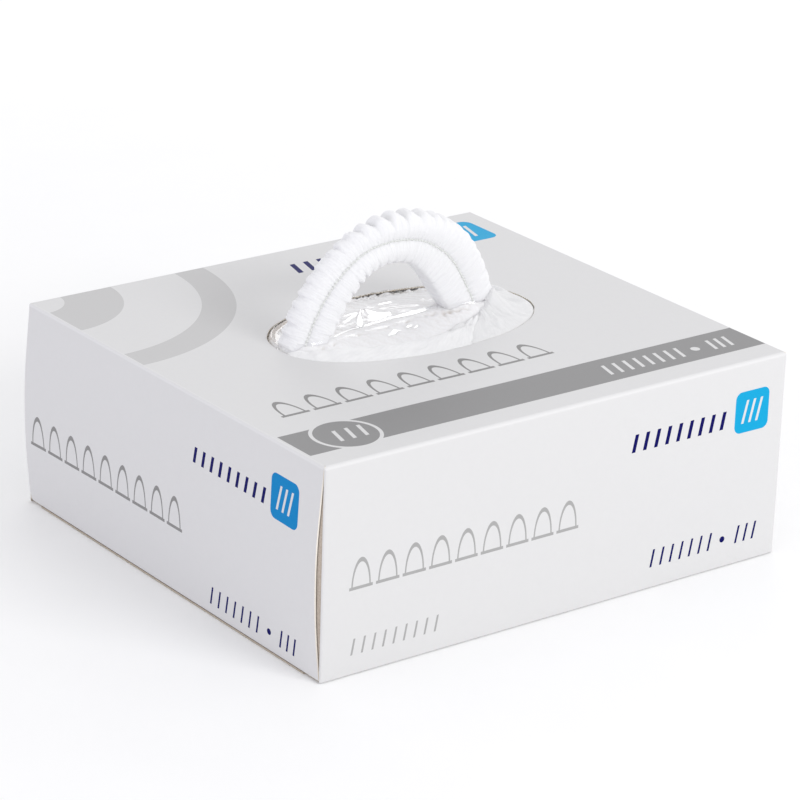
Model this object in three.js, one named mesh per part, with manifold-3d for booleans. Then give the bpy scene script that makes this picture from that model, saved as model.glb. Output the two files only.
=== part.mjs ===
// A pleated nurse cap standing as an arch in the oval mouth of its dispenser carton.
// Millimetres, +Z up, origin at the middle of the carton's base, +X along its front panel.

import * as THREE from 'three';
import * as BufferGeometryUtils from 'three/addons/utils/BufferGeometryUtils.js';
import Module from 'manifold-3d';

// Carton, outside sizes.
const LENGTH = 272;
const DEPTH = 250;
const HEIGHT = 105;
const BOARD = 0.8;
const FOLD_RADIUS = 1.0;
// The clearance between neighbours that touch.
const GAP = 0.3;
// How far a cutting solid reaches past what it cuts.
const CUT_MARGIN = 1;
// Points closer than this are one point.
const MERGE_TOLERANCE = 1e-4;

// The oval mouth in the lid: a superellipse, centre and half sizes.
const MOUTH = { x: 3.3, y: 6.0, halfLength: 73.4, halfWidth: 42.1, power: 2.2, steps: 72 };

// The tuck tongues, the dust flaps and the bare lips of the base at both ends.
const TONGUE = { length: 22, side: 119, corner: 8, root: 0.5 };
const DUST_FLAP = { length: 64, taper: 5 };
const BASE_LIP = { front: -112, back: 114 };

// The film: thickness, flange width under the lid as a share of the mouth, and slit width.
const FILM = { thickness: 0.4, flange: 1.12, slit: 1.2, columns: 56 };
// How far out the rings of the film and of the fill's top lie, from the slit to the rim.
const TENT_SHARES = [0, 0.08, 0.2, 0.36, 0.55, 0.75, 0.9, 1];
// The taut line along the slit, from the left foot of the arch to the right one.
const RIDGE_LEFT = { x: -62, y: 2, rise: 1.5 };
const RIDGE_RIGHT = { x: 42, y: 4, rise: 6 };

// The gathered strip of the cap, one row for each section along its length.
// rise is the height over the lid; halfWidth lies in the plane of the arch, halfDepth
// across it; twist turns the section towards the front, in degrees.
const STRIP_ROWS = [
  { x: -80, y: 6, rise: -42, halfWidth: 9.0, halfDepth: 6.5, twist: 12 },
  { x: -68, y: 6, rise: -24, halfWidth: 9.5, halfDepth: 7.0, twist: 16 },
  { x: -58, y: 6, rise: -3, halfWidth: 11.2, halfDepth: 7.2, twist: 22 },
  { x: -50, y: 6, rise: 13.5, halfWidth: 12.0, halfDepth: 7.1, twist: 26 },
  { x: -39, y: 6, rise: 28.5, halfWidth: 11.6, halfDepth: 7.0, twist: 26 },
  { x: -25, y: 6, rise: 40, halfWidth: 11.2, halfDepth: 7.0, twist: 19 },
  { x: -8, y: 6, rise: 45.4, halfWidth: 12.4, halfDepth: 7.3, twist: 0 },
  { x: 10, y: 6.3, rise: 43, halfWidth: 13.3, halfDepth: 7.6, twist: -7 },
  { x: 25, y: 6.3, rise: 33, halfWidth: 15.2, halfDepth: 8.3, twist: -6 },
  { x: 35.5, y: 6.3, rise: 18, halfWidth: 15.0, halfDepth: 8.0, twist: -5 },
  { x: 43.5, y: 6, rise: 3, halfWidth: 12.5, halfDepth: 7.6, twist: -9 },
  { x: 48, y: 6, rise: -9, halfWidth: 10.5, halfDepth: 7.0, twist: -9 },
];
const STRIP_POWER = 2.4;
const STRIP_SIDES = 20;
// Pleats: half a pleat between two sections, and how deep the valleys are.
const PLEAT = { halfPitch: 2.2, faceDepth: 0.5, innerDepth: 1.1, outerDepth: 1.4, scallopDepth: 2.6 };
// The seam groove along the front face, with the elastic thread in it.
const SEAM = { floorHalf: 0.9, lipHalf: 2.0, depth: 1.6 };
const ELASTIC = { width: 1.0, thickness: 0.8 };
// The sleeve of clear space round the strip in the film and in the fill.
const ENVELOPE = { clearance: 0.5, steps: 48, sides: 16 };

// The loose cloth of the cap, fanned out from the right foot over the film to the rim.
// rim is the angle of the point on the rim, in degrees; x and y are the inner end there.
const FAN_ROWS = [
  { rim: 34, x: 46, y: 10 },
  { rim: 8, x: 49, y: 7 },
  { rim: -25, x: 49, y: 3 },
  { rim: -55, x: 45, y: 1 },
  { rim: -74, x: 33, y: -6 },
  { rim: -92, x: 6, y: -14 },
  { rim: -120, x: -27, y: -13 },
  { rim: -150, x: -53, y: -8 },
];
const FAN = { thickness: 0.9, reach: 0.985, columns: 40, rows: 7, folds: 14, foldDepth: 0.35 };
// How far the fan climbs the right foot, and how fast it falls away from it.
const FAN_FOOT = { x: 44, y: 6, radius: 11, lift: 6, fall: 6 };

// The packed fill: clearance to the board and to the film, depth under the lid, and how
// far it sags under the far rim. Its last ring outside the film lies at outerShare.
const FILL = { clearance: 0.5, underFilm: 0.35, underLid: 2.2, farSag: 3, sagWidth: 0.25, outerShare: 1.25 };

const COLOURS = { board: 0xededef, cloth: 0xf6f6fa, elastic: 0xd4d8d6, film: 0xe2e5e8, fill: 0xefeff2 };

const wasm = await Module();
wasm.setup();

const LID_TOP = HEIGHT;
const LID_UNDERSIDE = HEIGHT - BOARD;
const HALF_LENGTH = LENGTH / 2;
const HALF_DEPTH = DEPTH / 2;
// The fill has no slit: its innermost ring is all but a line.
const CLOSED_SLIT = 0.001;

// Turns a closed geometry into a solid that can be cut and joined.
function solidOf(geometry) {
  const bare = geometry.clone();
  bare.deleteAttribute('normal');
  bare.deleteAttribute('uv');
  const merged = BufferGeometryUtils.mergeVertices(bare, MERGE_TOLERANCE);
  const vertProperties = new Float32Array(merged.attributes.position.array);
  const triVerts = new Uint32Array(merged.index.array);
  return new wasm.Manifold(new wasm.Mesh({ numProp: 3, vertProperties, triVerts }));
}

// Turns a solid back into a geometry.
function geometryOf(solid) {
  const mesh = solid.getMesh();
  const geometry = new THREE.BufferGeometry();
  geometry.setAttribute('position', new THREE.BufferAttribute(new Float32Array(mesh.vertProperties), 3));
  geometry.setIndex(new THREE.BufferAttribute(new Uint32Array(mesh.triVerts), 1));
  return geometry;
}

// Extrudes an outline in X and Y upwards from z = 0.
function extrude(shape, depth) {
  return new THREE.ExtrudeGeometry(shape, { depth, bevelEnabled: false, curveSegments: 4 });
}

// Extrudes an outline in Y and Z from x0 to x1.
function extrudeAlongX(shape, x0, x1) {
  const axes = new THREE.Matrix4().makeBasis(
    new THREE.Vector3(0, 1, 0),
    new THREE.Vector3(0, 0, 1),
    new THREE.Vector3(1, 0, 0),
  );
  return extrude(shape, x1 - x0).applyMatrix4(axes).translate(x0, 0, 0);
}

// Extrudes an outline in X and Z from y0 to y1.
function extrudeAlongY(shape, y0, y1) {
  const axes = new THREE.Matrix4().makeBasis(
    new THREE.Vector3(1, 0, 0),
    new THREE.Vector3(0, 0, 1),
    new THREE.Vector3(0, -1, 0),
  );
  return extrude(shape, y1 - y0).applyMatrix4(axes).translate(0, y1, 0);
}

// Extrudes an outline in X and Y from z0 to z1.
function extrudeAlongZ(shape, z0, z1) {
  return extrude(shape, z1 - z0).translate(0, 0, z0);
}

// A box between two corners.
function boxBetween(low, high) {
  const size = high.map((value, axis) => value - low[axis]);
  const geometry = new THREE.BoxGeometry(size[0], size[1], size[2]);
  return geometry.translate(low[0] + size[0] / 2, low[1] + size[1] / 2, low[2] + size[2] / 2);
}

// A rectangle with rounded corners between two corners, as a shape.
function roundedRectangle(a0, b0, a1, b1, radius) {
  const shape = new THREE.Shape();
  shape.moveTo(a0 + radius, b0);
  shape.lineTo(a1 - radius, b0);
  shape.absarc(a1 - radius, b0 + radius, radius, -Math.PI / 2, 0, false);
  shape.lineTo(a1, b1 - radius);
  shape.absarc(a1 - radius, b1 - radius, radius, 0, Math.PI / 2, false);
  shape.lineTo(a0 + radius, b1);
  shape.absarc(a0 + radius, b1 - radius, radius, Math.PI / 2, Math.PI, false);
  shape.lineTo(a0, b0 + radius);
  shape.absarc(a0 + radius, b0 + radius, radius, Math.PI, 1.5 * Math.PI, false);
  return shape;
}

// A signed power, which keeps the sign of its base.
function signedPower(base, exponent) {
  return Math.sign(base) * Math.abs(base) ** exponent;
}

// The point on the mouth's outline at an angle, at a share of the way from its centre.
function mouthPoint(angle, share) {
  const exponent = 2 / MOUTH.power;
  return {
    x: MOUTH.x + share * MOUTH.halfLength * signedPower(Math.cos(angle), exponent),
    y: MOUTH.y + share * MOUTH.halfWidth * signedPower(Math.sin(angle), exponent),
  };
}

// How far out a point lies in the mouth: 0 at its centre, 1 on its outline.
function mouthShare(x, y) {
  const across = Math.abs((x - MOUTH.x) / MOUTH.halfLength) ** MOUTH.power;
  const along = Math.abs((y - MOUTH.y) / MOUTH.halfWidth) ** MOUTH.power;
  return (across + along) ** (1 / MOUTH.power);
}

// The height of the middle of the film: a tent under the line of the slit, flat at the rim.
function filmHeight(x, y) {
  const rimHeight = LID_UNDERSIDE - GAP - FILM.thickness / 2;
  const inward = Math.max(0, 1 - mouthShare(x, y)) * MOUTH.halfWidth;
  const runX = RIDGE_RIGHT.x - RIDGE_LEFT.x;
  const runY = RIDGE_RIGHT.y - RIDGE_LEFT.y;
  const along = ((x - RIDGE_LEFT.x) * runX + (y - RIDGE_LEFT.y) * runY) / (runX ** 2 + runY ** 2);
  const t = Math.min(1, Math.max(0, along));
  const away = Math.hypot(x - RIDGE_LEFT.x - t * runX, y - RIDGE_LEFT.y - t * runY);
  const ridgeHeight = LID_TOP + RIDGE_LEFT.rise + t * (RIDGE_RIGHT.rise - RIDGE_LEFT.rise);
  return inward === 0 ? rimHeight : rimHeight + (ridgeHeight - rimHeight) * inward / (inward + away);
}

// A closed solid from rings of points that all have the same count.
// Consecutive rings are joined; the first and last are closed to their own middle.
function solidOfRings(rings) {
  const count = rings[0].length;
  const positions = rings.flat().flatMap((point) => [point.x, point.y, point.z]);
  const index = [];
  for (let ring = 0; ring + 1 < rings.length; ring += 1) {
    for (let k = 0; k < count; k += 1) {
      const next = (k + 1) % count;
      const a = ring * count + k;
      const b = ring * count + next;
      const c = (ring + 1) * count + next;
      const d = (ring + 1) * count + k;
      index.push(a, b, c, a, c, d);
    }
  }
  [0, rings.length - 1].forEach((ring) => {
    const middle = positions.length / 3;
    const centre = rings[ring].reduce((sum, p) => sum.add(p), new THREE.Vector3()).divideScalar(count);
    positions.push(centre.x, centre.y, centre.z);
    for (let k = 0; k < count; k += 1) {
      const a = ring * count + k;
      const b = ring * count + ((k + 1) % count);
      index.push(...(ring === 0 ? [middle, b, a] : [middle, a, b]));
    }
  });
  const geometry = new THREE.BufferGeometry();
  geometry.setAttribute('position', new THREE.Float32BufferAttribute(positions, 3));
  geometry.setIndex(index);
  return solidOf(geometry);
}

// A closed shell between an upper and a lower grid of points, rows by columns.
// wraps says that the last column joins the first.
function solidOfShell(upper, lower, wraps) {
  const rows = upper.length;
  const columns = upper[0].length;
  const positions = [...upper, ...lower].flat().flatMap((point) => [point.x, point.y, point.z]);
  const index = [];
  const at = (layer, row, column) => layer * rows * columns + row * columns + (column % columns);
  const quad = (a, b, c, d) => index.push(a, b, c, a, c, d);
  const spans = wraps ? columns : columns - 1;
  for (let row = 0; row + 1 < rows; row += 1) {
    for (let column = 0; column < spans; column += 1) {
      quad(at(0, row, column), at(0, row + 1, column), at(0, row + 1, column + 1), at(0, row, column + 1));
      quad(at(1, row, column), at(1, row, column + 1), at(1, row + 1, column + 1), at(1, row + 1, column));
    }
  }
  const last = rows - 1;
  for (let column = 0; column < spans; column += 1) {
    quad(at(0, 0, column + 1), at(1, 0, column + 1), at(1, 0, column), at(0, 0, column));
    quad(at(0, last, column), at(1, last, column), at(1, last, column + 1), at(0, last, column + 1));
  }
  if (!wraps) {
    const edge = columns - 1;
    for (let row = 0; row + 1 < rows; row += 1) {
      quad(at(0, row, 0), at(1, row, 0), at(1, row + 1, 0), at(0, row + 1, 0));
      quad(at(0, row + 1, edge), at(1, row + 1, edge), at(1, row, edge), at(0, row, edge));
    }
  }
  const geometry = new THREE.BufferGeometry();
  geometry.setAttribute('position', new THREE.Float32BufferAttribute(positions, 3));
  geometry.setIndex(index);
  return solidOf(geometry);
}

// The strip's centre line and its sections, as smooth curves through the rows.
const stripPath = new THREE.CatmullRomCurve3(
  STRIP_ROWS.map((row) => new THREE.Vector3(row.x, row.y, LID_TOP + row.rise)),
  false,
  'centripetal',
);
const stripForm = new THREE.CatmullRomCurve3(
  STRIP_ROWS.map((row) => new THREE.Vector3(row.halfWidth, row.halfDepth, row.twist)),
  false,
  'catmullrom',
  0.5,
);

// One section of the strip at a share of its length: centre, axes and half sizes.
// inner points to the inside of the arch, front towards the front panel.
function stripSection(share) {
  const t = stripPath.getUtoTmapping(share);
  const centre = stripPath.getPoint(t);
  const along = stripPath.getTangent(t).normalize();
  const inward = new THREE.Vector3().crossVectors(along, new THREE.Vector3(0, -1, 0)).normalize();
  const forward = new THREE.Vector3().crossVectors(inward, along);
  const form = stripForm.getPoint(t);
  const twist = THREE.MathUtils.degToRad(form.z);
  const inner = inward.clone().multiplyScalar(Math.cos(twist)).addScaledVector(forward, Math.sin(twist));
  const front = forward.clone().multiplyScalar(Math.cos(twist)).addScaledVector(inward, -Math.sin(twist));
  return { centre, along, inner, front, halfWidth: form.x, halfDepth: form.y };
}

// A point of a section from its coordinates in the section's own axes.
function sectionPoint(section, across, forward) {
  const point = section.centre.clone();
  return point.addScaledVector(section.inner, across).addScaledVector(section.front, forward);
}

// The outline of the strip's section as pairs across and forward, turning left as seen
// from its far end.
// valley is 0 on a ridge and 1 in a valley; deep says that the outer valley is a scallop's.
function stripOutline(section, valley, deep) {
  const outline = [];
  for (let k = 0; k < STRIP_SIDES; k += 1) {
    const angle = (-k / STRIP_SIDES) * 2 * Math.PI;
    const cosine = Math.cos(angle);
    const edgeDepth = cosine > 0 ? PLEAT.innerDepth : (deep ? PLEAT.scallopDepth : PLEAT.outerDepth);
    const depth = PLEAT.faceDepth + (edgeDepth - PLEAT.faceDepth) * cosine ** 4;
    const across = (section.halfWidth - valley * depth) * signedPower(cosine, 2 / STRIP_POWER);
    const forward = (section.halfDepth - valley * depth) * signedPower(Math.sin(angle), 2 / STRIP_POWER);
    outline.push([across, forward]);
    if (k === 0.75 * STRIP_SIDES) {
      outline.pop();
      const floor = forward - SEAM.depth;
      outline.push([-SEAM.lipHalf, forward], [-SEAM.floorHalf, floor]);
      outline.push([SEAM.floorHalf, floor], [SEAM.lipHalf, forward]);
    }
  }
  return outline;
}

// The pleated strip: ridges and valleys take turns along its length.
function pleatedStrip() {
  const length = stripPath.getLength();
  const steps = Math.round(length / PLEAT.halfPitch);
  const rings = [];
  for (let step = 0; step <= steps; step += 1) {
    const section = stripSection(step / steps);
    const outline = stripOutline(section, step % 2, step % 4 === 3);
    rings.push(outline.map(([across, forward]) => sectionPoint(section, across, forward)));
  }
  return solidOfRings(rings);
}

// A smooth sleeve round the strip, which clears its ridges.
function stripEnvelope() {
  const { clearance, steps, sides } = ENVELOPE;
  const rings = [];
  for (let step = 0; step <= steps; step += 1) {
    const section = stripSection(step / steps);
    const ring = [];
    for (let k = 0; k < sides; k += 1) {
      const angle = (-k / sides) * 2 * Math.PI;
      const across = (section.halfWidth + clearance) * signedPower(Math.cos(angle), 2 / STRIP_POWER);
      const forward = (section.halfDepth + clearance) * signedPower(Math.sin(angle), 2 / STRIP_POWER);
      ring.push(sectionPoint(section, across, forward));
    }
    rings.push(ring);
  }
  const ends = [0, steps].map((step) => {
    const shift = (step === 0 ? -1 : 1) * clearance;
    return rings[step].map((point) => point.clone().addScaledVector(stripSection(step / steps).along, shift));
  });
  return solidOfRings([ends[0], ...rings.slice(1, steps), ends[1]]);
}

// The elastic thread lies in the groove, a gap above its floor, and follows the pleats.
function elasticThread() {
  const length = stripPath.getLength();
  const steps = Math.round(length / PLEAT.halfPitch);
  const rings = [];
  for (let step = 1; step < steps; step += 1) {
    const section = stripSection(step / steps);
    const floor = section.halfDepth - (step % 2) * PLEAT.faceDepth - SEAM.depth;
    const low = floor + GAP;
    const half = ELASTIC.width / 2;
    const high = low + ELASTIC.thickness;
    const corners = [[-half, low], [-half, high], [half, high], [half, low]];
    rings.push(corners.map(([across, forward]) => sectionPoint(section, across, forward)));
  }
  return solidOfRings(rings);
}

// The fanned cloth lies on the film, from the inner line of its rows to the rim.
function fannedCloth() {
  const rowCurve = new THREE.CatmullRomCurve3(
    FAN_ROWS.map((row) => new THREE.Vector3(row.x, row.y, row.rim)),
    false,
    'catmullrom',
    0.5,
  );
  const upper = [];
  const lower = [];
  for (let row = 0; row <= FAN.rows; row += 1) {
    const outward = row / FAN.rows;
    const top = [];
    const bottom = [];
    for (let column = 0; column <= FAN.columns; column += 1) {
      const start = rowCurve.getPoint(column / FAN.columns);
      const rim = mouthPoint(THREE.MathUtils.degToRad(start.z), FAN.reach);
      const x = THREE.MathUtils.lerp(start.x, rim.x, outward);
      const y = THREE.MathUtils.lerp(start.y, rim.y, outward);
      const fold = FAN.foldDepth * outward * Math.cos((column / FAN.columns) * FAN.folds * 2 * Math.PI);
      const base = filmHeight(x, y) + FILM.thickness / 2 + GAP + FAN.foldDepth + fold + footLift(x, y);
      bottom.push(new THREE.Vector3(x, y, base));
      top.push(new THREE.Vector3(x, y, base + FAN.thickness));
    }
    upper.push(top);
    lower.push(bottom);
  }
  return solidOfShell(lower, upper, false);
}

// How far the fan climbs the right foot at a point: most on the far right side.
function footLift(x, y) {
  const away = Math.hypot(x - FAN_FOOT.x, y - FAN_FOOT.y);
  const side = away > 0 ? 0.5 + 0.5 * (x - FAN_FOOT.x) / away : 0.5;
  return FAN_FOOT.lift * side * Math.exp(-Math.max(0, away - FAN_FOOT.radius) / FAN_FOOT.fall);
}

// A point between the line of the slit and the mouth: inward end at share 0, rim at 1.
// opening is the half width of the slit at its middle.
function tentPoint(angle, share, opening) {
  const middle = {
    x: (RIDGE_LEFT.x + RIDGE_RIGHT.x) / 2,
    y: (RIDGE_LEFT.y + RIDGE_RIGHT.y) / 2,
  };
  const halfX = (RIDGE_RIGHT.x - RIDGE_LEFT.x) / 2;
  const halfY = (RIDGE_RIGHT.y - RIDGE_LEFT.y) / 2;
  const slitX = middle.x + halfX * Math.cos(angle);
  const slitY = middle.y + halfY * Math.cos(angle) + opening * Math.sin(angle);
  const rim = mouthPoint(angle, Math.max(1, share));
  const t = Math.min(1, share);
  return { x: slitX + t * (rim.x - slitX), y: slitY + t * (rim.y - slitY) };
}

// The angles of the columns round the mouth.
function tentAngles() {
  return Array.from({ length: FILM.columns }, (_, k) => (k / FILM.columns) * 2 * Math.PI);
}

// The film is a thin tent, open along its slit and round the strip.
function slitFilm(envelope) {
  const shares = [...TENT_SHARES, FILM.flange];
  const layer = (offset) => shares.map((share) => tentAngles().map((angle) => {
    const point = tentPoint(angle, share, FILM.slit / 2);
    return new THREE.Vector3(point.x, point.y, filmHeight(point.x, point.y) + offset);
  }));
  const half = FILM.thickness / 2;
  return solidOfShell(layer(half), layer(-half), true).subtract(envelope);
}

// The height of the fill's top: under the film in the mouth, lower towards the far rim.
function fillHeight(x, y) {
  const share = mouthShare(x, y);
  const far = Math.max(0, (y - MOUTH.y) / MOUTH.halfWidth);
  const sag = FILL.farSag * far * Math.exp(-(((share - 1) / FILL.sagWidth) ** 2));
  const flat = LID_TOP - FILL.underLid;
  if (share >= 1) {
    return flat - sag;
  }
  const underFilm = filmHeight(x, y) - FILM.thickness / 2 - FILL.underFilm;
  return Math.max(underFilm, flat) - sag;
}

// The fill: straight sides and base, its top in rings from the slit's line outwards.
function packedFill(envelope) {
  const floor = 2 * (BOARD + GAP);
  const halfX = HALF_LENGTH - 2 * (BOARD + GAP) - FILL.clearance;
  const halfY = HALF_DEPTH - BOARD - FILL.clearance;
  const onBorder = (angle) => {
    const scale = 1 / Math.max(Math.abs(Math.cos(angle)) / halfX, Math.abs(Math.sin(angle)) / halfY);
    return { x: scale * Math.cos(angle), y: scale * Math.sin(angle) };
  };
  const corner = Math.atan2(halfY, halfX);
  const corners = [corner, Math.PI - corner, Math.PI + corner, 2 * Math.PI - corner];
  // The border angle of the column that is nearest to a corner is the corner's own.
  const borderAngle = (angle) => {
    const near = corners.find((own) => Math.abs(own - angle) <= Math.PI / FILM.columns);
    return near === undefined ? angle : near;
  };
  const shares = [...TENT_SHARES, FILM.flange, FILL.outerShare];
  const top = shares.map((share) => tentAngles().map((angle) => {
    const point = tentPoint(angle, share, CLOSED_SLIT);
    return new THREE.Vector3(point.x, point.y, fillHeight(point.x, point.y));
  }));
  const rim = tentAngles().map((angle) => {
    const point = onBorder(borderAngle(angle));
    return new THREE.Vector3(point.x, point.y, LID_TOP - FILL.underLid);
  });
  const base = rim.map((point) => new THREE.Vector3(point.x, point.y, floor));
  return solidOfRings([...top, rim, base].reverse()).subtract(envelope);
}

// The sleeve: lid, front, back and base in one folded board, the lid cut for the mouth.
function cartonSleeve() {
  const outline = roundedRectangle(-HALF_DEPTH, 0, HALF_DEPTH, HEIGHT, FOLD_RADIUS);
  const bore = roundedRectangle(
    -HALF_DEPTH + BOARD,
    BOARD,
    HALF_DEPTH - BOARD,
    HEIGHT - BOARD,
    FOLD_RADIUS - BOARD,
  );
  outline.holes.push(bore);
  let sleeve = solidOf(extrudeAlongX(outline, -HALF_LENGTH, HALF_LENGTH));
  const mouth = new THREE.Shape(
    Array.from({ length: MOUTH.steps }, (_, k) => {
      const point = mouthPoint((k / MOUTH.steps) * 2 * Math.PI, 1);
      return new THREE.Vector2(point.x, point.y);
    }),
  );
  sleeve = sleeve.subtract(solidOf(extrudeAlongZ(mouth, LID_UNDERSIDE - CUT_MARGIN, LID_TOP + CUT_MARGIN)));
  const lidEnd = HALF_LENGTH - BOARD - GAP;
  const inside = HALF_DEPTH - BOARD;
  [-1, 1].forEach((side) => {
    const ends = [side * lidEnd, side * (HALF_LENGTH + CUT_MARGIN)];
    const near = Math.min(...ends);
    const far = Math.max(...ends);
    const notches = [
      boxBetween([near, -inside, LID_UNDERSIDE - CUT_MARGIN], [far, inside, LID_TOP + CUT_MARGIN]),
      boxBetween([near, -inside, -CUT_MARGIN], [far, BASE_LIP.front, BOARD + CUT_MARGIN]),
      boxBetween([near, BASE_LIP.back, -CUT_MARGIN], [far, inside, BOARD + CUT_MARGIN]),
    ];
    notches.forEach((notch) => {
      sleeve = sleeve.subtract(solidOf(notch));
    });
  });
  return sleeve;
}

// An end closure: a panel that hangs from the lid's crease, folded at its foot into a
// tuck tongue that lies on the base.
function endClosure(side) {
  const outer = HALF_LENGTH;
  const inner = HALF_LENGTH - BOARD;
  const foot = BOARD + GAP;
  const tip = HALF_LENGTH - TONGUE.length;
  const profile = new THREE.Shape();
  profile.moveTo(side * (tip - CUT_MARGIN), foot);
  profile.lineTo(side * (outer - FOLD_RADIUS), foot);
  profile.quadraticCurveTo(side * outer, foot, side * outer, foot + FOLD_RADIUS);
  profile.lineTo(side * outer, LID_TOP - FOLD_RADIUS / 2);
  profile.quadraticCurveTo(side * outer, LID_TOP, side * inner, LID_TOP);
  profile.lineTo(side * inner, foot + BOARD);
  profile.lineTo(side * (tip - CUT_MARGIN), foot + BOARD);
  const half = HALF_DEPTH - BOARD - GAP;
  const root = inner - TONGUE.root;
  const shoulder = tip + TONGUE.corner;
  const corner = TONGUE.side - TONGUE.corner;
  const plan = new THREE.Shape();
  plan.moveTo(side * (outer + CUT_MARGIN), -half);
  plan.lineTo(side * root, -half);
  plan.lineTo(side * shoulder, -TONGUE.side);
  plan.quadraticCurveTo(side * tip, -TONGUE.side, side * tip, -corner);
  plan.lineTo(side * tip, corner);
  plan.quadraticCurveTo(side * tip, TONGUE.side, side * shoulder, TONGUE.side);
  plan.lineTo(side * root, half);
  plan.lineTo(side * (outer + CUT_MARGIN), half);
  const panel = solidOf(extrudeAlongY(profile, -half, half));
  return panel.intersect(solidOf(extrudeAlongZ(plan, -CUT_MARGIN, LID_TOP + CUT_MARGIN)));
}

// A dust flap: folded in from the end of the front or back panel, behind the closure.
function dustFlap(end, side) {
  const outerFace = HALF_LENGTH - BOARD - GAP;
  const innerFace = outerFace - BOARD;
  const root = HALF_DEPTH - BOARD - GAP;
  const tip = root - DUST_FLAP.length;
  const low = 2 * (BOARD + GAP);
  const high = LID_UNDERSIDE - GAP;
  const shape = new THREE.Shape();
  shape.moveTo(side * root, low);
  shape.lineTo(side * tip, low + DUST_FLAP.taper);
  shape.lineTo(side * tip, high - DUST_FLAP.taper);
  shape.lineTo(side * root, high);
  const x0 = end < 0 ? -outerFace : innerFace;
  return solidOf(extrudeAlongX(shape, x0, x0 + BOARD));
}

const carton = new THREE.Group();
const cap = new THREE.Group();
const object = new THREE.Group();
object.add(carton, cap);

// Adds a solid to a group as a mesh with its name and finish.
function addPiece(group, name, solid, colour, roughness) {
  const material = new THREE.MeshStandardMaterial({ color: colour, roughness, metalness: 0 });
  const mesh = new THREE.Mesh(geometryOf(solid), material);
  mesh.name = name;
  group.add(mesh);
}

const clearedStrip = stripEnvelope();

addPiece(carton, 'carton_sleeve', cartonSleeve(), COLOURS.board, 0.45);
addPiece(carton, 'closure_left', endClosure(-1), COLOURS.board, 0.45);
addPiece(carton, 'closure_right', endClosure(1), COLOURS.board, 0.45);
addPiece(carton, 'dust_flap_front_left', dustFlap(-1, -1), COLOURS.board, 0.6);
addPiece(carton, 'dust_flap_back_left', dustFlap(-1, 1), COLOURS.board, 0.6);
addPiece(carton, 'dust_flap_front_right', dustFlap(1, -1), COLOURS.board, 0.6);
addPiece(carton, 'dust_flap_back_right', dustFlap(1, 1), COLOURS.board, 0.6);
addPiece(carton, 'window_film', slitFilm(clearedStrip), COLOURS.film, 0.1);
addPiece(carton, 'packed_fill', packedFill(clearedStrip), COLOURS.fill, 0.9);
addPiece(cap, 'cap_cloth', pleatedStrip().add(fannedCloth()), COLOURS.cloth, 0.9);
addPiece(cap, 'cap_elastic', elasticThread(), COLOURS.elastic, 0.8);

export default object;
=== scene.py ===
"""A pleated nurse cap that stands as an arch in the oval mouth of its dispenser carton.

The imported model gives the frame: +X along the carton's front panel, +Y from front to
back, +Z up. Lengths here are in millimetres, and each mesh is made in metres.
"""

import logging
import math
from dataclasses import dataclass, field
from enum import Enum
from typing import Sequence

import bmesh
import bpy
import numpy as np
from mathutils import Matrix, Vector


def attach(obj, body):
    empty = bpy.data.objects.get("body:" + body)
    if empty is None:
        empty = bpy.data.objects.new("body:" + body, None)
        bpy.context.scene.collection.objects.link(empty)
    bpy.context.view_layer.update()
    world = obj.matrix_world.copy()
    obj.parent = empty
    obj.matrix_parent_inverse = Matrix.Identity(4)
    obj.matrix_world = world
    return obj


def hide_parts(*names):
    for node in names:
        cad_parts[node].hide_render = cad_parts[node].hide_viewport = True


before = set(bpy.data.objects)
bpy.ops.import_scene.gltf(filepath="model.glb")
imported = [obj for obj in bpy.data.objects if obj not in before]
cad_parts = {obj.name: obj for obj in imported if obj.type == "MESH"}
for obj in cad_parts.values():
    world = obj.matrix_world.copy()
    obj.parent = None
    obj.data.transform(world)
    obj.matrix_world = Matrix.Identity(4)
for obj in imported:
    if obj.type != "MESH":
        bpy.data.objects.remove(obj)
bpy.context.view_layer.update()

LOG = logging.getLogger("nurse_cap")
MM = 0.001
BODY = "root"

Array = np.ndarray
Colour = tuple[float, float, float]


def srgb(red: float, green: float, blue: float) -> Colour:
    """The linear colour of a display colour: ((c + 0.055) / 1.055) to the power 2.4.

    Args:
        red: The red, 0 to 255.
        green: The green.
        blue: The blue.

    Returns:
        The colour, each part from 0 to 1.
    """
    shares = (channel / 255 for channel in (red, green, blue))
    linear = [((c + 0.055) / 1.055) ** 2.4 if c > 0.04045 else c / 12.92 for c in shares]
    return linear[0], linear[1], linear[2]


def smooth_step(value: Array, low: float, high: float) -> Array:
    """0 below low, 1 above high, and 3t^2 - 2t^3 between them."""
    t = np.clip((value - low) / (high - low), 0, 1)
    return t * t * (3 - 2 * t)


def signed_power(base: Array, exponent: float) -> Array:
    """The power of a number's size, with the sign of the number."""
    return np.sign(base) * np.abs(base) ** exponent


def pleat(phase: Array, sharpness: float = 0.8) -> Array:
    """Round ridges with sharp valleys, 0 to 1: |sin(pi * phase)| to the sharpness."""
    return np.abs(np.sin(np.pi * phase)) ** sharpness


class Ripple:
    """Smooth seeded noise, from about -1 to 1: a sum of sine waves in turned directions."""

    def __init__(self, seed: int, waves: int = 9) -> None:
        """Draws the waves.

        Args:
            seed: The number that fixes the waves.
            waves: How many waves are summed.
        """
        draw = np.random.default_rng(seed)
        turn = draw.uniform(0, 2 * np.pi, waves)
        rate = 2 * np.pi * draw.uniform(0.35, 1.6, waves)
        self.kx = rate * np.cos(turn)
        self.ky = rate * np.sin(turn)
        self.phase = draw.uniform(0, 2 * np.pi, waves)
        self.gain = 1.6 / np.sqrt(waves)

    def at(self, x: Array, y: Array) -> Array:
        """The mean of sin(kx x + ky y + phase) over the waves, scaled to about -1 to 1."""
        total = sum(
            np.sin(kx * x + ky * y + phase)
            for kx, ky, phase in zip(self.kx, self.ky, self.phase)
        )
        return total * self.gain / np.sqrt(len(self.phase))


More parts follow.
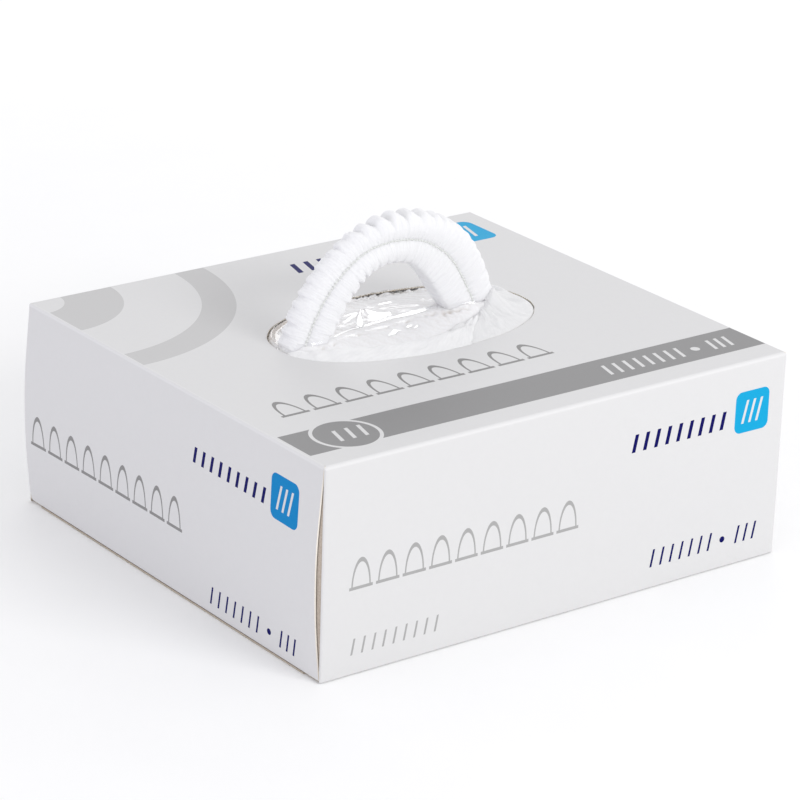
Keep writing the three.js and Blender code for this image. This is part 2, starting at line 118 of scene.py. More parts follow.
def grid_faces(rows: int, columns: int, wraps: bool = False, first: int = 0) -> Array:
    """Quads of a grid of points kept row by row.

    Args:
        rows: The number of rows of points.
        columns: The number of points in a row.
        wraps: Whether the last column joins the first.
        first: The index of the grid's first point.

    Returns:
        One row of four indices for each quad.
    """
    row = np.arange(rows - 1)[:, None]
    column = np.arange(columns if wraps else columns - 1)[None, :]
    after = (column + 1) % columns
    corners = (
        row * columns + column,
        row * columns + after,
        (row + 1) * columns + after,
        (row + 1) * columns + column,
    )
    shape = np.broadcast(row, column).shape
    return first + np.stack([np.broadcast_to(corner, shape) for corner in corners], -1).reshape(-1, 4)


def make_object(
    name: str,
    points: Array,
    faces: Sequence[Sequence[int]],
    materials: Sequence[bpy.types.Material],
    face_slots: Array | None = None,
    attributes: dict[str, Array] | None = None,
) -> bpy.types.Object:
    """Makes a smooth-shaded mesh object from points in millimetres.

    Args:
        name: The piece's name.
        points: The points, one row each.
        faces: The faces, as indices of points.
        materials: The materials of the object's slots.
        face_slots: The slot of each face, where there are several.
        attributes: Named values, one for each point, that materials read.

    Returns:
        The new object, linked to the scene, with its place in its mesh.
    """
    mesh = bpy.data.meshes.new(name)
    corners = faces.tolist() if isinstance(faces, np.ndarray) else faces
    mesh.from_pydata((np.asarray(points).reshape(-1, 3) * MM).tolist(), [], corners)
    for material in materials:
        mesh.materials.append(material)
    if face_slots is not None:
        mesh.polygons.foreach_set("material_index", np.asarray(face_slots, np.int32))
    mesh.polygons.foreach_set("use_smooth", np.ones(len(mesh.polygons), bool))
    for key, values in (attributes or {}).items():
        layer = mesh.attributes.new(key, "FLOAT", "POINT")
        layer.data.foreach_set("value", np.asarray(values, np.float32).ravel())
    mesh.update()
    thing = bpy.data.objects.new(name, mesh)
    bpy.context.scene.collection.objects.link(thing)
    return thing


def make_tube(
    name: str, rings: Array, material: bpy.types.Material, attributes: dict[str, Array] | None = None
) -> bpy.types.Object:
    """Makes a closed tube from rings of points, with a flat face over each end.

    Args:
        name: The piece's name.
        rings: The points, rings by points of a ring by x, y and z.
        material: The tube's material.
        attributes: Named values, one for each point, that the material reads.

    Returns:
        The piece.
    """
    count, sides = rings.shape[:2]
    faces = grid_faces(count, sides, wraps=True).tolist()
    last = (count - 1) * sides
    faces.append(list(range(sides))[::-1])
    faces.append([last + side for side in range(sides)])
    thing = make_object(name, rings, faces, [material], attributes=attributes)
    merge_doubles(thing, 0.001)
    return thing


def merge_doubles(thing: bpy.types.Object, reach: float) -> None:
    """Merges points that are close together, and turns the faces outwards.

    Args:
        thing: The piece.
        reach: How close the points are, in millimetres.
    """
    mesh = bmesh.new()
    mesh.from_mesh(thing.data)
    bmesh.ops.remove_doubles(mesh, verts=mesh.verts, dist=reach * MM)
    bmesh.ops.recalc_face_normals(mesh, faces=mesh.faces)
    mesh.to_mesh(thing.data)
    mesh.free()


def orient(thing: bpy.types.Object, outward: Sequence[float]) -> None:
    """Flips a sheet's faces if most of their area looks away from a direction.

    Args:
        thing: The sheet.
        outward: The direction that the faces are to look in.
    """
    mesh = thing.data
    areas = np.empty(len(mesh.polygons))
    normals = np.empty(3 * len(mesh.polygons))
    mesh.polygons.foreach_get("area", areas)
    mesh.polygons.foreach_get("normal", normals)
    if (areas @ normals.reshape(-1, 3)) @ np.asarray(outward) < 0:
        mesh.flip_normals()


def thicken(thing: bpy.types.Object, thickness: float, outer_slots: int, sharp_degrees: float = 40) -> None:
    """Gives a board its thickness inwards, and keeps its cut edges crisp.

    Args:
        thing: The board, made of its outer surface.
        thickness: The thickness in millimetres.
        outer_slots: How many slots the outer surface has. The inner surface takes the
            slots after them, and the cut edges the slots after those.
        sharp_degrees: Edges that turn by more than this are shaded as sharp.
    """
    shell = thing.modifiers.new("board", "SOLIDIFY")
    shell.thickness = thickness * MM
    shell.offset = -1
    shell.material_offset = outer_slots
    shell.material_offset_rim = 2 * outer_slots
    bpy.context.view_layer.update()
    finished = thing.evaluated_get(bpy.context.evaluated_depsgraph_get())
    solid = bpy.data.meshes.new_from_object(finished)
    solid.name = thing.name
    thing.modifiers.clear()
    thing.data = solid
    solid.set_sharp_from_angle(angle=math.radians(sharp_degrees))


class Value:
    """A number in a shader. An expression on values adds its Math nodes."""

    def __init__(self, graph: "Graph", socket: bpy.types.NodeSocket) -> None:
        """Wraps an output socket of a graph."""
        self.graph = graph
        self.socket = socket

    def _math(self, operation: str, *others: "Value | float", clamp: bool = False) -> "Value":
        """Adds a Math node of this value and the others.

        Args:
            operation: The node's operation.
            others: Its other values, in order.
            clamp: Whether the result is held between 0 and 1.

        Returns:
            The result.
        """
        inputs = dict(enumerate((self, *others)))
        node = self.graph.node("ShaderNodeMath", {"operation": operation, "use_clamp": clamp}, inputs)
        return Value(self.graph, node.outputs[0])

    def __add__(self, other: "Value | float") -> "Value":
        """The sum."""
        return self._math("ADD", other)

    __radd__ = __add__

    def __mul__(self, other: "Value | float") -> "Value":
        """The product."""
        return self._math("MULTIPLY", other)

    __rmul__ = __mul__

    def __sub__(self, other: "Value | float") -> "Value":
        """The difference."""
        return self._math("SUBTRACT", other)

    def __rsub__(self, other: float) -> "Value":
        """A number less this value."""
        return self._math("MULTIPLY", -1) + other

    def __truediv__(self, other: "Value | float") -> "Value":
        """The quotient."""
        return self._math("DIVIDE", other)

    def __pow__(self, other: float) -> "Value":
        """The power."""
        return self._math("POWER", other)

    def __abs__(self) -> "Value":
        """The size without the sign."""
        return self._math("ABSOLUTE")

    def near(self, middle: "Value | float", reach: float) -> "Value":
        """1 where this value is within reach of the middle."""
        return self._math("COMPARE", middle, reach)

    def between(self, low: float, high: float) -> "Value":
        """1 where this value is between two numbers."""
        return self.near((low + high) / 2, (high - low) / 2)

    def either(self, other: "Value | float") -> "Value":
        """The greater of two values."""
        return self._math("MAXIMUM", other)

    def fraction(self) -> "Value":
        """What is left over whole numbers."""
        return self._math("FRACT")

    def clamped(self) -> "Value":
        """The value held between 0 and 1."""
        return self._math("ADD", 0, clamp=True)

    def ramp(self, low: float, high: float) -> "Value":
        """0 at low and 1 at high, held between them."""
        return ((self - low) / (high - low)).clamped()


class Graph:
    """The node tree of one material."""

    def __init__(self, name: str) -> None:
        """Makes an empty material.

        Args:
            name: The material's name.
        """
        self.material = bpy.data.materials.new(name)
        self.material.use_nodes = True
        self.tree = self.material.node_tree
        self.tree.nodes.clear()

    def node(self, kind: str, settings: dict | None = None, inputs: dict | None = None) -> bpy.types.Node:
        """Adds a node: its settings first, then the values or links of its sockets.

        Args:
            kind: The node's type.
            settings: Its own settings by name.
            inputs: Its sockets by name or number: a value, a socket or a number.

        Returns:
            The node.
        """
        node = self.tree.nodes.new(kind)
        for key, value in (settings or {}).items():
            setattr(node, key, value)
        for key, value in (inputs or {}).items():
            if isinstance(value, Value):
                value = value.socket
            if isinstance(value, bpy.types.NodeSocket):
                self.tree.links.new(value, node.inputs[key])
            elif isinstance(value, tuple) and len(value) == 3 and node.inputs[key].type == "RGBA":
                node.inputs[key].default_value = (*value, 1)
            else:
                node.inputs[key].default_value = value
        return node

    def position(self) -> bpy.types.NodeSocket:
        """Object coordinates in millimetres."""
        place = self.node("ShaderNodeTexCoord").outputs["Object"]
        inputs = {0: place, 1: (1 / MM, 1 / MM, 1 / MM)}
        return self.node("ShaderNodeVectorMath", {"operation": "MULTIPLY"}, inputs).outputs[0]

    def axes(self, vector: bpy.types.NodeSocket) -> tuple[Value, Value, Value]:
        """The three numbers of a vector."""
        node = self.node("ShaderNodeSeparateXYZ", None, {0: vector})
        return Value(self, node.outputs[0]), Value(self, node.outputs[1]), Value(self, node.outputs[2])

    def attribute(self, name: str) -> Value:
        """A named value of the piece's own points."""
        node = self.node("ShaderNodeAttribute", {"attribute_name": name})
        return Value(self, node.outputs["Fac"])

    def noise(
        self, vector: bpy.types.NodeSocket, scale: float, detail: float = 2.0, rough: float = 0.5
    ) -> Value:
        """Noise from 0 to 1 over a vector, with scale cells to the unit."""
        inputs = {"Vector": vector, "Scale": scale, "Detail": detail, "Roughness": rough}
        return Value(self, self.node("ShaderNodeTexNoise", None, inputs).outputs[0])

    def blend(self, share: Value | float, low: Value | Colour, high: Value | Colour) -> Value:
        """Two colours mixed by a share."""
        node = self.node("ShaderNodeMix", {"data_type": "RGBA"}, {0: share, 6: low, 7: high})
        return Value(self, node.outputs[2])

    def bump(self, height: Value, depth: float, strength: float = 1.0) -> bpy.types.NodeSocket:
        """A normal from a height of 0 to 1, depth millimetres deep."""
        inputs = {"Strength": strength, "Distance": depth * MM, "Height": height}
        return self.node("ShaderNodeBump", None, inputs).outputs["Normal"]

    def finish(self, shader: bpy.types.Node) -> bpy.types.Material:
        """Links a shader to the output and gives the material."""
        self.node("ShaderNodeOutputMaterial", None, {"Surface": shader.outputs[0]})
        return self.material

    def surface(
        self,
        colour: Value | Colour,
        roughness: Value | float,
        normal: bpy.types.NodeSocket | None = None,
        **constants: float | tuple[float, ...],
    ) -> bpy.types.Material:
        """A finished surface.

        Args:
            colour: Its base colour.
            roughness: Its roughness.
            normal: Its bump, if it has one.
            constants: Other sockets of the shader, by name with _ for a space.

        Returns:
            The material.
        """
        inputs = {"Base Color": colour, "Roughness": roughness}
        if normal is not None:
            inputs["Normal"] = normal
        inputs.update({key.replace("_", " "): value for key, value in constants.items()})
        return self.finish(self.node("ShaderNodeBsdfPrincipled", None, inputs))


class Panel(Enum):
    """Which part of the carton a printed surface is, and so what it shows."""

    LID = "lid"
    LONG_SIDE = "long_side"
    END = "end"
    BASE = "base"


@dataclass(frozen=True)
class Inks:
    """The inks on the board, as linear colours."""

    paper: Colour = (0.690, 0.687, 0.690)
    band: Colour = (0.278, 0.276, 0.277)
    pale: Colour = (0.552, 0.548, 0.549)
    grey: Colour = (0.270, 0.267, 0.265)
    light_grey: Colour = (0.380, 0.378, 0.376)
    navy: Colour = (0.001, 0.001, 0.100)
    blue: Colour = (0.005, 0.355, 0.640)
    end_blue: Colour = (0.001, 0.215, 0.520)
    # A lighter paper colour, the painted highlight along the top creases.
    crease_highlight: Colour = (0.745, 0.742, 0.745)


@dataclass
class PrintArea:
    """The plane of one printed panel, with its two coordinates in millimetres."""

    graph: Graph
    u: Value
    v: Value

    def bar(self, u0: float, u1: float, v0: float, v1: float) -> Value:
        """1 inside a rectangle."""
        return self.u.between(u0, u1) * self.v.between(v0, v1)

    def away(self, u: float, v: float) -> Value:
        """The distance from a point."""
        du, dv = self.u - u, self.v - v
        return (du * du + dv * dv) ** 0.5

    def tile(self, u: float, v: float, half: float, corner: float) -> Value:
        """1 inside a square with round corners, by the distance outside an inner square.

        Args:
            u: The middle's first coordinate.
            v: Its second.
            half: Half the square's side.
            corner: The radius of its corners.

        Returns:
            The mask.
        """
        inner = half - corner
        du, dv = (abs(gap).either(inner) - inner for gap in (self.u - u, self.v - v))
        return ((du * du + dv * dv) ** 0.5).near(0, corner)

    def strokes(
        self, u0: float, u1: float, v0: float, v1: float, count: int, width: float, lean: float
    ) -> Value:
        """A row of slanted strokes: the fraction of (u - lean v) / pitch is near a half.

        Args:
            u0: Where the row starts.
            u1: Where it ends.
            v0: The strokes' foot.
            v1: Their head.
            count: How many there are.
            width: Their width.
            lean: How far they lean for each millimetre of height.

        Returns:
            The mask.
        """
        pitch = (u1 - u0) / count
        along = self.u - (self.v - v0) * lean
        beside = abs((((along - u0) / pitch).fraction() - 0.5) * pitch)
        return beside.near(0, width / 2) * along.between(u0, u1) * self.v.between(v0, v1)

    def cap_row(self, u0: float, u1: float, v0: float, v1: float, count: int, width: float) -> Value:
        """A row of plain cap outlines: half an ellipse on a straight band, one to each pitch.

        Args:
            u0: Where the row starts.
            u1: Where it ends.
            v0: The bands' foot.
            v1: The crowns' top.
            count: How many caps there are.
            width: The width of their lines.

        Returns:
            The mask.
        """
        pitch = (u1 - u0) / count
        half = 0.5 * pitch - 1.6 * width
        tall = (v1 - v0) - width / 2
        across = (((self.u - u0) / pitch).fraction() - 0.5) * pitch
        up = self.v - v0
        radius = ((across / half) * (across / half) + (up / tall) * (up / tall)) ** 0.5
        crown = ((radius - 1) * (0.5 * (half + tall))).near(0, width / 2) * up.between(0, tall + width)
        brim = up.between(0, width) * across.between(-half - width, half + width)
        return crown.either(brim) * self.u.between(u0, u1)


@dataclass(frozen=True)
class PrintedBoard:
    """Coated white boxboard with its print, by panel."""

    inks: Inks = Inks()
    paper_shade: float = 0.985
    grain_per_mm: float = 0.9
    # The heights between which the painted crease highlight fades in.
    crease_heights: tuple[float, float] = (103.1, 103.9)
    roughness: float = 0.42
    roughness_spread: float = 0.14
    specular: float = 0.08

    def material(self, panel: Panel, mirrored: bool = False) -> bpy.types.Material:
        """The material of one panel.

        Args:
            panel: Which panel it is.
            mirrored: True for the back panel and the right end, which read the other way.

        Returns:
            The material.
        """
        graph = Graph(f"board_{panel.value}{'_far' if mirrored else ''}")
        place = graph.position()
        x, y, z = graph.axes(place)
        sign = -1 if mirrored else 1
        fibre = graph.noise(place, 0.35, 4, 0.6)
        shaded = tuple(self.paper_shade * channel for channel in self.inks.paper)
        paper = graph.blend(fibre.ramp(0.25, 0.8), shaded, self.inks.paper)
        # Painted highlight: the paper turns lighter along the top crease of the long sides and the ends.
        if panel in (Panel.LONG_SIDE, Panel.END):
            paper = graph.blend(z.ramp(*self.crease_heights), paper, self.inks.crease_highlight)
        if panel is Panel.LID:
            colour = self._lid(PrintArea(graph, x, y), paper)
        elif panel is Panel.LONG_SIDE:
            colour = self._long_side(PrintArea(graph, x * sign, z), paper)
        elif panel is Panel.END:
            colour = self._end(PrintArea(graph, y * -sign, z), paper)
        else:
            colour = paper
        coat = graph.noise(place, self.grain_per_mm, 3, 0.6)
        normal = graph.bump(coat, 0.02, 0.5)
        roughness = coat.ramp(0, 1) * self.roughness_spread + self.roughness
        return graph.surface(colour, roughness, normal, Specular_IOR_Level=self.specular)

    def _lid(self, area: PrintArea, paper: Value) -> Value:
        """Band with a badge, a row of caps, arcs in the back left corner, a mark at the back.

        Args:
            area: The lid's plane.
            paper: The paper's colour.

        Returns:
            The printed colour.
        """
        graph, inks = area.graph, self.inks
        corner = area.away(-136, 124)
        arcs = corner.between(17, 46).either(corner.between(84, 101))
        colour = graph.blend(arcs, paper, inks.pale)
        colour = graph.blend(area.cap_row(-119, 41, -66.5, -49, 9, 2.0), colour, inks.grey)
        badge = area.away(-105, -97.4)
        band = area.bar(-133.6, 140, -110.3, -84.5).either(badge.near(0, 17))
        colour = graph.blend(band, colour, inks.band)
        light = badge.between(15.2, 17).either(area.strokes(-114.5, -94, -103.5, -91.5, 3, 2.0, 0.25))
        light = light.either(area.strokes(42, 93, -103.5, -92, 8, 1.9, 0.25))
        light = light.either(area.away(101, -98).near(0, 2.4))
        light = light.either(area.strokes(107.5, 123, -103.5, -92, 3, 1.9, 0.25))
        colour = graph.blend(light, colour, paper)
        navy = area.strokes(-1, 88, 91, 104, 11, 3.0, 0.25)
        colour = graph.blend(navy, colour, inks.navy)
        return self._tile_mark(area, colour, paper, 110, 98.6, 14.5)

    def _tile_mark(
        self,
        area: PrintArea,
        colour: Value,
        paper: Value,
        u: float,
        v: float,
        half: float,
        ink: Colour | None = None,
    ) -> Value:
        """A light blue tile with three slanted strokes left bare on it.

        Args:
            area: The panel's plane.
            colour: The colour so far.
            paper: The paper's colour.
            u: The tile's middle, first coordinate.
            v: Its second.
            half: Half its side.
            ink: Its ink, where it isn't the usual blue.

        Returns:
            The printed colour.
        """
        tile = area.tile(u, v, half, 0.35 * half)
        reach = 0.55 * half
        bare = area.strokes(u - 0.75 * half, u + 0.5 * half, v - reach, v + reach, 3, 0.14 * half, 0.25)
        blue = area.graph.blend(tile, colour, ink or self.inks.blue)
        return area.graph.blend(bare, blue, paper)

    def _long_side(self, area: PrintArea, paper: Value) -> Value:
        """A row of caps, a row of dashes, and a navy row with a tile mark above another row.

        Args:
            area: The panel's plane.
            paper: The paper's colour.

        Returns:
            The printed colour.
        """
        graph, inks = area.graph, self.inks
        caps = area.cap_row(-122, 12, 42, 57, 9, 1.5)
        colour = graph.blend(caps, paper, inks.light_grey)
        colour = graph.blend(area.strokes(-122, -69, 10, 18, 9, 1.1, 0.2), colour, inks.light_grey)
        navy = area.strokes(39, 100, 73, 82, 9, 2.2, 0.2)
        navy = navy.either(area.strokes(54, 96, 11, 20, 7, 1.3, 0.2))
        navy = navy.either(area.away(102, 15).near(0, 1.6))
        navy = navy.either(area.strokes(108, 124, 11, 20, 3, 1.3, 0.2))
        colour = graph.blend(navy, colour, inks.navy)
        return self._tile_mark(area, colour, paper, 115.7, 79.3, 10.6)

    def _end(self, area: PrintArea, paper: Value) -> Value:
        """The same without the row of dashes, at the size of the carton's end.

        Args:
            area: The panel's plane.
            paper: The paper's colour.

        Returns:
            The printed colour.
        """
        graph, inks = area.graph, self.inks
        colour = graph.blend(area.cap_row(-120, 14, 33, 49, 9, 1.6), paper, inks.grey)
        navy = area.strokes(19, 82, 72, 80, 9, 2.2, 0.2)
        navy = navy.either(area.strokes(34, 78, 6, 15, 7, 1.3, 0.2))
        navy = navy.either(area.away(85, 10.5).near(0, 1.6))
        navy = navy.either(area.strokes(91, 107, 6, 15, 3, 1.3, 0.2))
        colour = graph.blend(navy, colour, inks.navy)
        return self._tile_mark(area, colour, paper, 96, 79, 11, inks.end_blue)


@dataclass(frozen=True)
class BoardBack:
    """The uncoated grey-brown back of the boxboard, speckled with fibres."""

    dark: Colour = srgb(164, 150, 136)
    light: Colour = srgb(196, 186, 174)

    def material(self) -> bpy.types.Material:
        """Blends the two colours by a fine speckle.

        Returns:
            The material.
        """
        graph = Graph("board_back")
        place = graph.position()
        speck = graph.noise(place, 1.3, 5, 0.7)
        colour = graph.blend(speck.ramp(0.3, 0.75), self.dark, self.light)
        return graph.surface(colour, 0.85, graph.bump(speck, 0.08, 0.6))


@dataclass(frozen=True)
class RawEdge:
    """The board's cut edges: brown plies round the mouth, pale at the ends, grey at the foot."""

    ply: Colour = srgb(186, 165, 140)
    cream: Colour = srgb(236, 230, 216)
    plain: Colour = srgb(240, 234, 224)
    foot: Colour = srgb(184, 173, 158)
    lid_top: float = 105

    def material(self) -> bpy.types.Material:
        """Blends the plies by noise, and the foot, the ends and the lid's coat by height.

        Returns:
            The material.
        """
        graph = Graph("board_raw_edge")
        place = graph.position()
        frayed = graph.noise(place, 2.2, 4, 0.7)
        patches = graph.noise(place, 0.16, 3, 0.6)
        plies = graph.blend((patches * 0.75 + frayed * 0.25).ramp(0.42, 0.60), self.ply, self.cream)
        height = graph.axes(place)[2]
        torn = graph.blend(height.ramp(self.lid_top - 0.42, self.lid_top - 0.34), plies, self.cream)
        cut = graph.blend(height.ramp(1.0, 1.6), self.foot, self.plain)
        colour = graph.blend(height.ramp(self.lid_top - 1.4, self.lid_top - 1.2), cut, torn)
        return graph.surface(colour, 0.9, graph.bump(frayed, 0.12, 0.8))


@dataclass(frozen=True)
class SoftNonwoven:
    """White spunbond cloth: fine bonded fibres, a soft sheen, and painted shade that greys its folds."""

    name: str
    ridge: Colour = (0.865, 0.865, 0.877)
    # valley is painted shade: the colour that the folds are darkened to.
    valley: Colour = (0.70, 0.70, 0.73)
    fibre_depth: float = 0.10
    roughness: float = 0.92
    specular: float = 0.25
    sheen: float = 0.25
    sheen_roughness: float = 0.5
    subsurface: float = 0.5
    subsurface_reach: float = 2.2

    def material(self) -> bpy.types.Material:
        """Blends the valley colour, which is painted shade, and the ridge colour by the piece's fold
        attribute, from 0 to 1, and by fibres.

        Returns:
            The material.
        """
        graph = Graph(self.name)
        place = graph.position()
        fold = graph.attribute("fold")
        fibres = graph.noise(place, 2.6, 4, 0.75)
        strands = graph.noise(place, 0.8, 3, 0.6)
        share = (fold + (fibres - 0.5) * 0.35 + (strands - 0.5) * 0.2).clamped()
        colour = graph.blend(share, self.valley, self.ridge)
        normal = graph.bump(fibres * 0.7 + strands * 0.3, self.fibre_depth * 2, 0.7)
        return graph.surface(
            colour,
            self.roughness,
            normal,
            Specular_IOR_Level=self.specular,
            Sheen_Weight=self.sheen,
            Sheen_Roughness=self.sheen_roughness,
            Subsurface_Weight=self.subsurface,
            Subsurface_Radius=(1.0, 1.0, 1.0),
            Subsurface_Scale=self.subsurface_reach * MM,
        )


@dataclass(frozen=True)
class ElasticYarn:
    """The faintly greenish elastic thread."""

    yarn: Colour = srgb(234, 236, 233)
    twist_shade: float = 0.8

    def material(self) -> bpy.types.Material:
        """Blends the yarn and a darker tone of it by its twist.

        Returns:
            The material.
        """
        graph = Graph("elastic_yarn")
        twist = graph.noise(graph.position(), 3.0, 2, 0.5)
        shaded = tuple(self.twist_shade * channel for channel in self.yarn)
        colour = graph.blend(twist.ramp(0.3, 0.7), shaded, self.yarn)
        return graph.surface(colour, 0.8, graph.bump(twist, 0.08, 0.6))


@dataclass(frozen=True)
class ClearFilm:
    """Thin clear film: mostly see-through, glossy, and whiter along its creases."""

    tint: Colour = (0.98, 0.98, 0.985)
    gloss_roughness: float = 0.09
    crease_share: float = 0.40

    def material(self) -> bpy.types.Material:
        """Mixes clear and gloss by the view's slant and the crease attribute, from 0 to 1.

        Returns:
            The material.
        """
        graph = Graph("clear_film")
        place = graph.position()
        crease = graph.attribute("crease")
        crackle = graph.noise(place, 0.5, 3, 0.6)
        normal = graph.bump(crackle, 0.10, 0.5)
        slant = graph.node("ShaderNodeLayerWeight", None, {"Blend": 0.5, "Normal": normal})
        edge_on = Value(graph, slant.outputs["Facing"]) ** 5 * 0.96 + 0.04
        clear = graph.node("ShaderNodeBsdfTransparent", None, {"Color": self.tint})
        shine = {"Color": (1, 1, 1), "Roughness": self.gloss_roughness, "Normal": normal}
        gloss = graph.node("ShaderNodeBsdfAnisotropic", None, shine)
        share = (edge_on + crease * self.crease_share).clamped()
        layers = {0: share, 1: clear.outputs[0], 2: gloss.outputs[0]}
        return graph.finish(graph.node("ShaderNodeMixShader", None, layers))


@dataclass(frozen=True)
class Carton:
    """The carton's outside sizes in millimetres, shared by its boards."""

    length: float = 272
    depth: float = 250
    height: float = 105
    board: float = 0.8
    gap: float = 0.3
    long_crease: float = 1.7
    lid_half: float = 134.9

    @property
    def half_length(self) -> float:
        """Half the length."""
        return self.length / 2

    @property
    def half_depth(self) -> float:
        """Half the depth."""
        return self.depth / 2

    @property
    def end_half(self) -> float:
        """Half the width of an end closure, which stands between the long sides' boards."""
        return self.half_depth - self.board - self.gap

    @property
    def drawn_board(self) -> float:
        """The boards' thickness as drawn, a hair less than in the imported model."""
        return self.board - 0.05


@dataclass(frozen=True)
class Mouth:
    """The oval mouth in the lid, a superellipse."""

    x: float = 3.3
    y: float = 6.0
    half_length: float = 73.4
    half_width: float = 42.1
    power: float = 2.2

    def point(self, angle: Array, share: Array | float) -> tuple[Array, Array]:
        """centre + share * half size * signed cosine or sine to 2 / power."""
        exponent = 2 / self.power
        return (
            self.x + share * self.half_length * signed_power(np.cos(angle), exponent),
            self.y + share * self.half_width * signed_power(np.sin(angle), exponent),
        )

    def share(self, x: Array, y: Array) -> Array:
        """How far out a point lies: (|x / half length|^power + |y / half width|^power)^(1 / power).

        Args:
            x: Places along X.
            y: Places along Y.

        Returns:
            0 at the centre, 1 on the outline.
        """
        across = np.abs((x - self.x) / self.half_length) ** self.power
        along = np.abs((y - self.y) / self.half_width) ** self.power
        return (across + along) ** (1 / self.power)


@dataclass(frozen=True)
class Slit:
    """The slit in the film, which the cap's two legs push open. Heights are over the lid."""

    x: tuple[float, ...] = (
        -67, -64, -58, -50, -43, -37, -30, -22, -8, 5, 14, 20, 26, 32, 39, 46, 52, 57.5,
    )
    front: tuple[float, ...] = (
        4, 2.0, -2.6, -3.0, -2.2, 0.2, 1.8, 1.4, 1.8, 1.9, 2.6, 2.7, 0.8, -2.0, -3.6, -4.2, -2.6, 5,
    )
    back: tuple[float, ...] = (
        4, 6.8, 13.5, 15.2, 14.0, 9.5, 4.0, 2.2, 2.6, 2.7, 3.4, 3.6, 5.5, 11, 15, 15.8, 13, 5,
    )
    rise: tuple[float, ...] = (
        0.5, 1.6, 2.9, 3.1, 3.1, 3.1, 3.1, 3.2, 3.7, 4.2, 4.7, 4.9, 4.6, 4.3, 4.1, 3.6, 2.4, 0.8,
    )

    def lip(self, x: Array) -> tuple[Array, Array, Array, Array]:
        """The front lip's y, the back lip's y and the height at a place held within the slit.

        Args:
            x: Places along X.

        Returns:
            The place held within the slit, front, back and height.
        """
        held = np.clip(x, self.x[0], self.x[-1])
        front, back, rise = (np.interp(held, self.x, row) for row in (self.front, self.back, self.rise))
        return held, front, back, rise


@dataclass(frozen=True)
class Tent:
    """The height of the film: a tent under the lips of its slit, flat at the rim.

    Each of the rim's gaps is a place along X, its width and its depth from 0 to 1.
    """

    mouth: Mouth = Mouth()
    slit: Slit = Slit()
    rim_height: float = 105 - 0.8 - 0.3 - 0.2
    lid_top: float = 105
    collar_rise: float = 2.6
    puff_rise: float = 2.0
    rim_gaps: tuple[tuple[float, float, float], ...] = (
        (5.6, 1.0, 0.5), (9.4, 0.8, 0.4), (12.3, 0.9, 0.5), (17.9, 1.3, 0.6), (26.5, 1.6, 0.8),
        (30.5, 1.8, 0.9), (37.2, 1.3, 0.6),
    )

    def collar(self, x: Array, y: Array) -> Array:
        """The film pulled up in front of the right leg: rise * exp(-((x - 42) / 13)^4) * falls."""
        before = np.exp(-((np.maximum(0, -3.5 - y) / 4.5) ** 2))
        return self.collar_rise * np.exp(-(((x - 42) / 13) ** 4)) * before * (1 - smooth_step(y, 0, 8))

    def puff(self, x: Array, y: Array) -> Array:
        """The swell along the far rim: rise * exp(-((share - 0.966) / 0.022)^2), less the gaps.

        Args:
            x: Places along X.
            y: Places along Y.

        Returns:
            The height that it adds.
        """
        ridge = np.exp(-(((self.mouth.share(x, y) - 0.966) / 0.022) ** 2))
        gaps = sum(deep * np.exp(-(((x - at) / wide) ** 2)) for at, wide, deep in self.rim_gaps)
        return self.puff_rise * ridge * np.clip(1 - gaps, 0, 1) * smooth_step(y, 10, 20)

    def height(self, x: Array, y: Array, flat: Array | float = 0.0) -> Array:
        """rim + (lip - rim) * inward / (inward + distance from the slit past its flat lip).

        Args:
            x: Places along X.
            y: Places along Y.
            flat: How wide the flat lip is.

        Returns:
            The height, with the collar and the puff.
        """
        inward = np.maximum(0, 1 - self.mouth.share(x, y)) * self.mouth.half_width
        held, front, back, rise = self.slit.lip(x)
        away = np.hypot(x - held, np.maximum(0, np.maximum(front - y, y - back)))
        away = np.maximum(0, away - flat)
        share = np.where(inward == 0, 0, inward / np.maximum(inward + away, 1e-9))
        slope = (self.lid_top + rise - self.rim_height) * share
        return self.rim_height + slope + self.collar(x, y) + self.puff(x, y)

    def plan(self, angle: Array, share: Array) -> tuple[Array, Array]:
        """A point between the slit's lips at share 0 and the mouth at 1, and past it.

        Args:
            angle: The angle round the mouth.
            share: How far out the point lies.

        Returns:
            Its x and y.
        """
        start, end = self.slit.x[0], self.slit.x[-1]
        slit_x = (start + end) / 2 + (end - start) / 2 * np.cos(angle)
        _, front, back, _ = self.slit.lip(slit_x)
        slit_y = np.where(np.sin(angle) > 0, back, front)
        rim_x, rim_y = self.mouth.point(angle, np.maximum(1, share))
        t = np.minimum(1, share)
        return slit_x + t * (rim_x - slit_x), slit_y + t * (rim_y - slit_y)


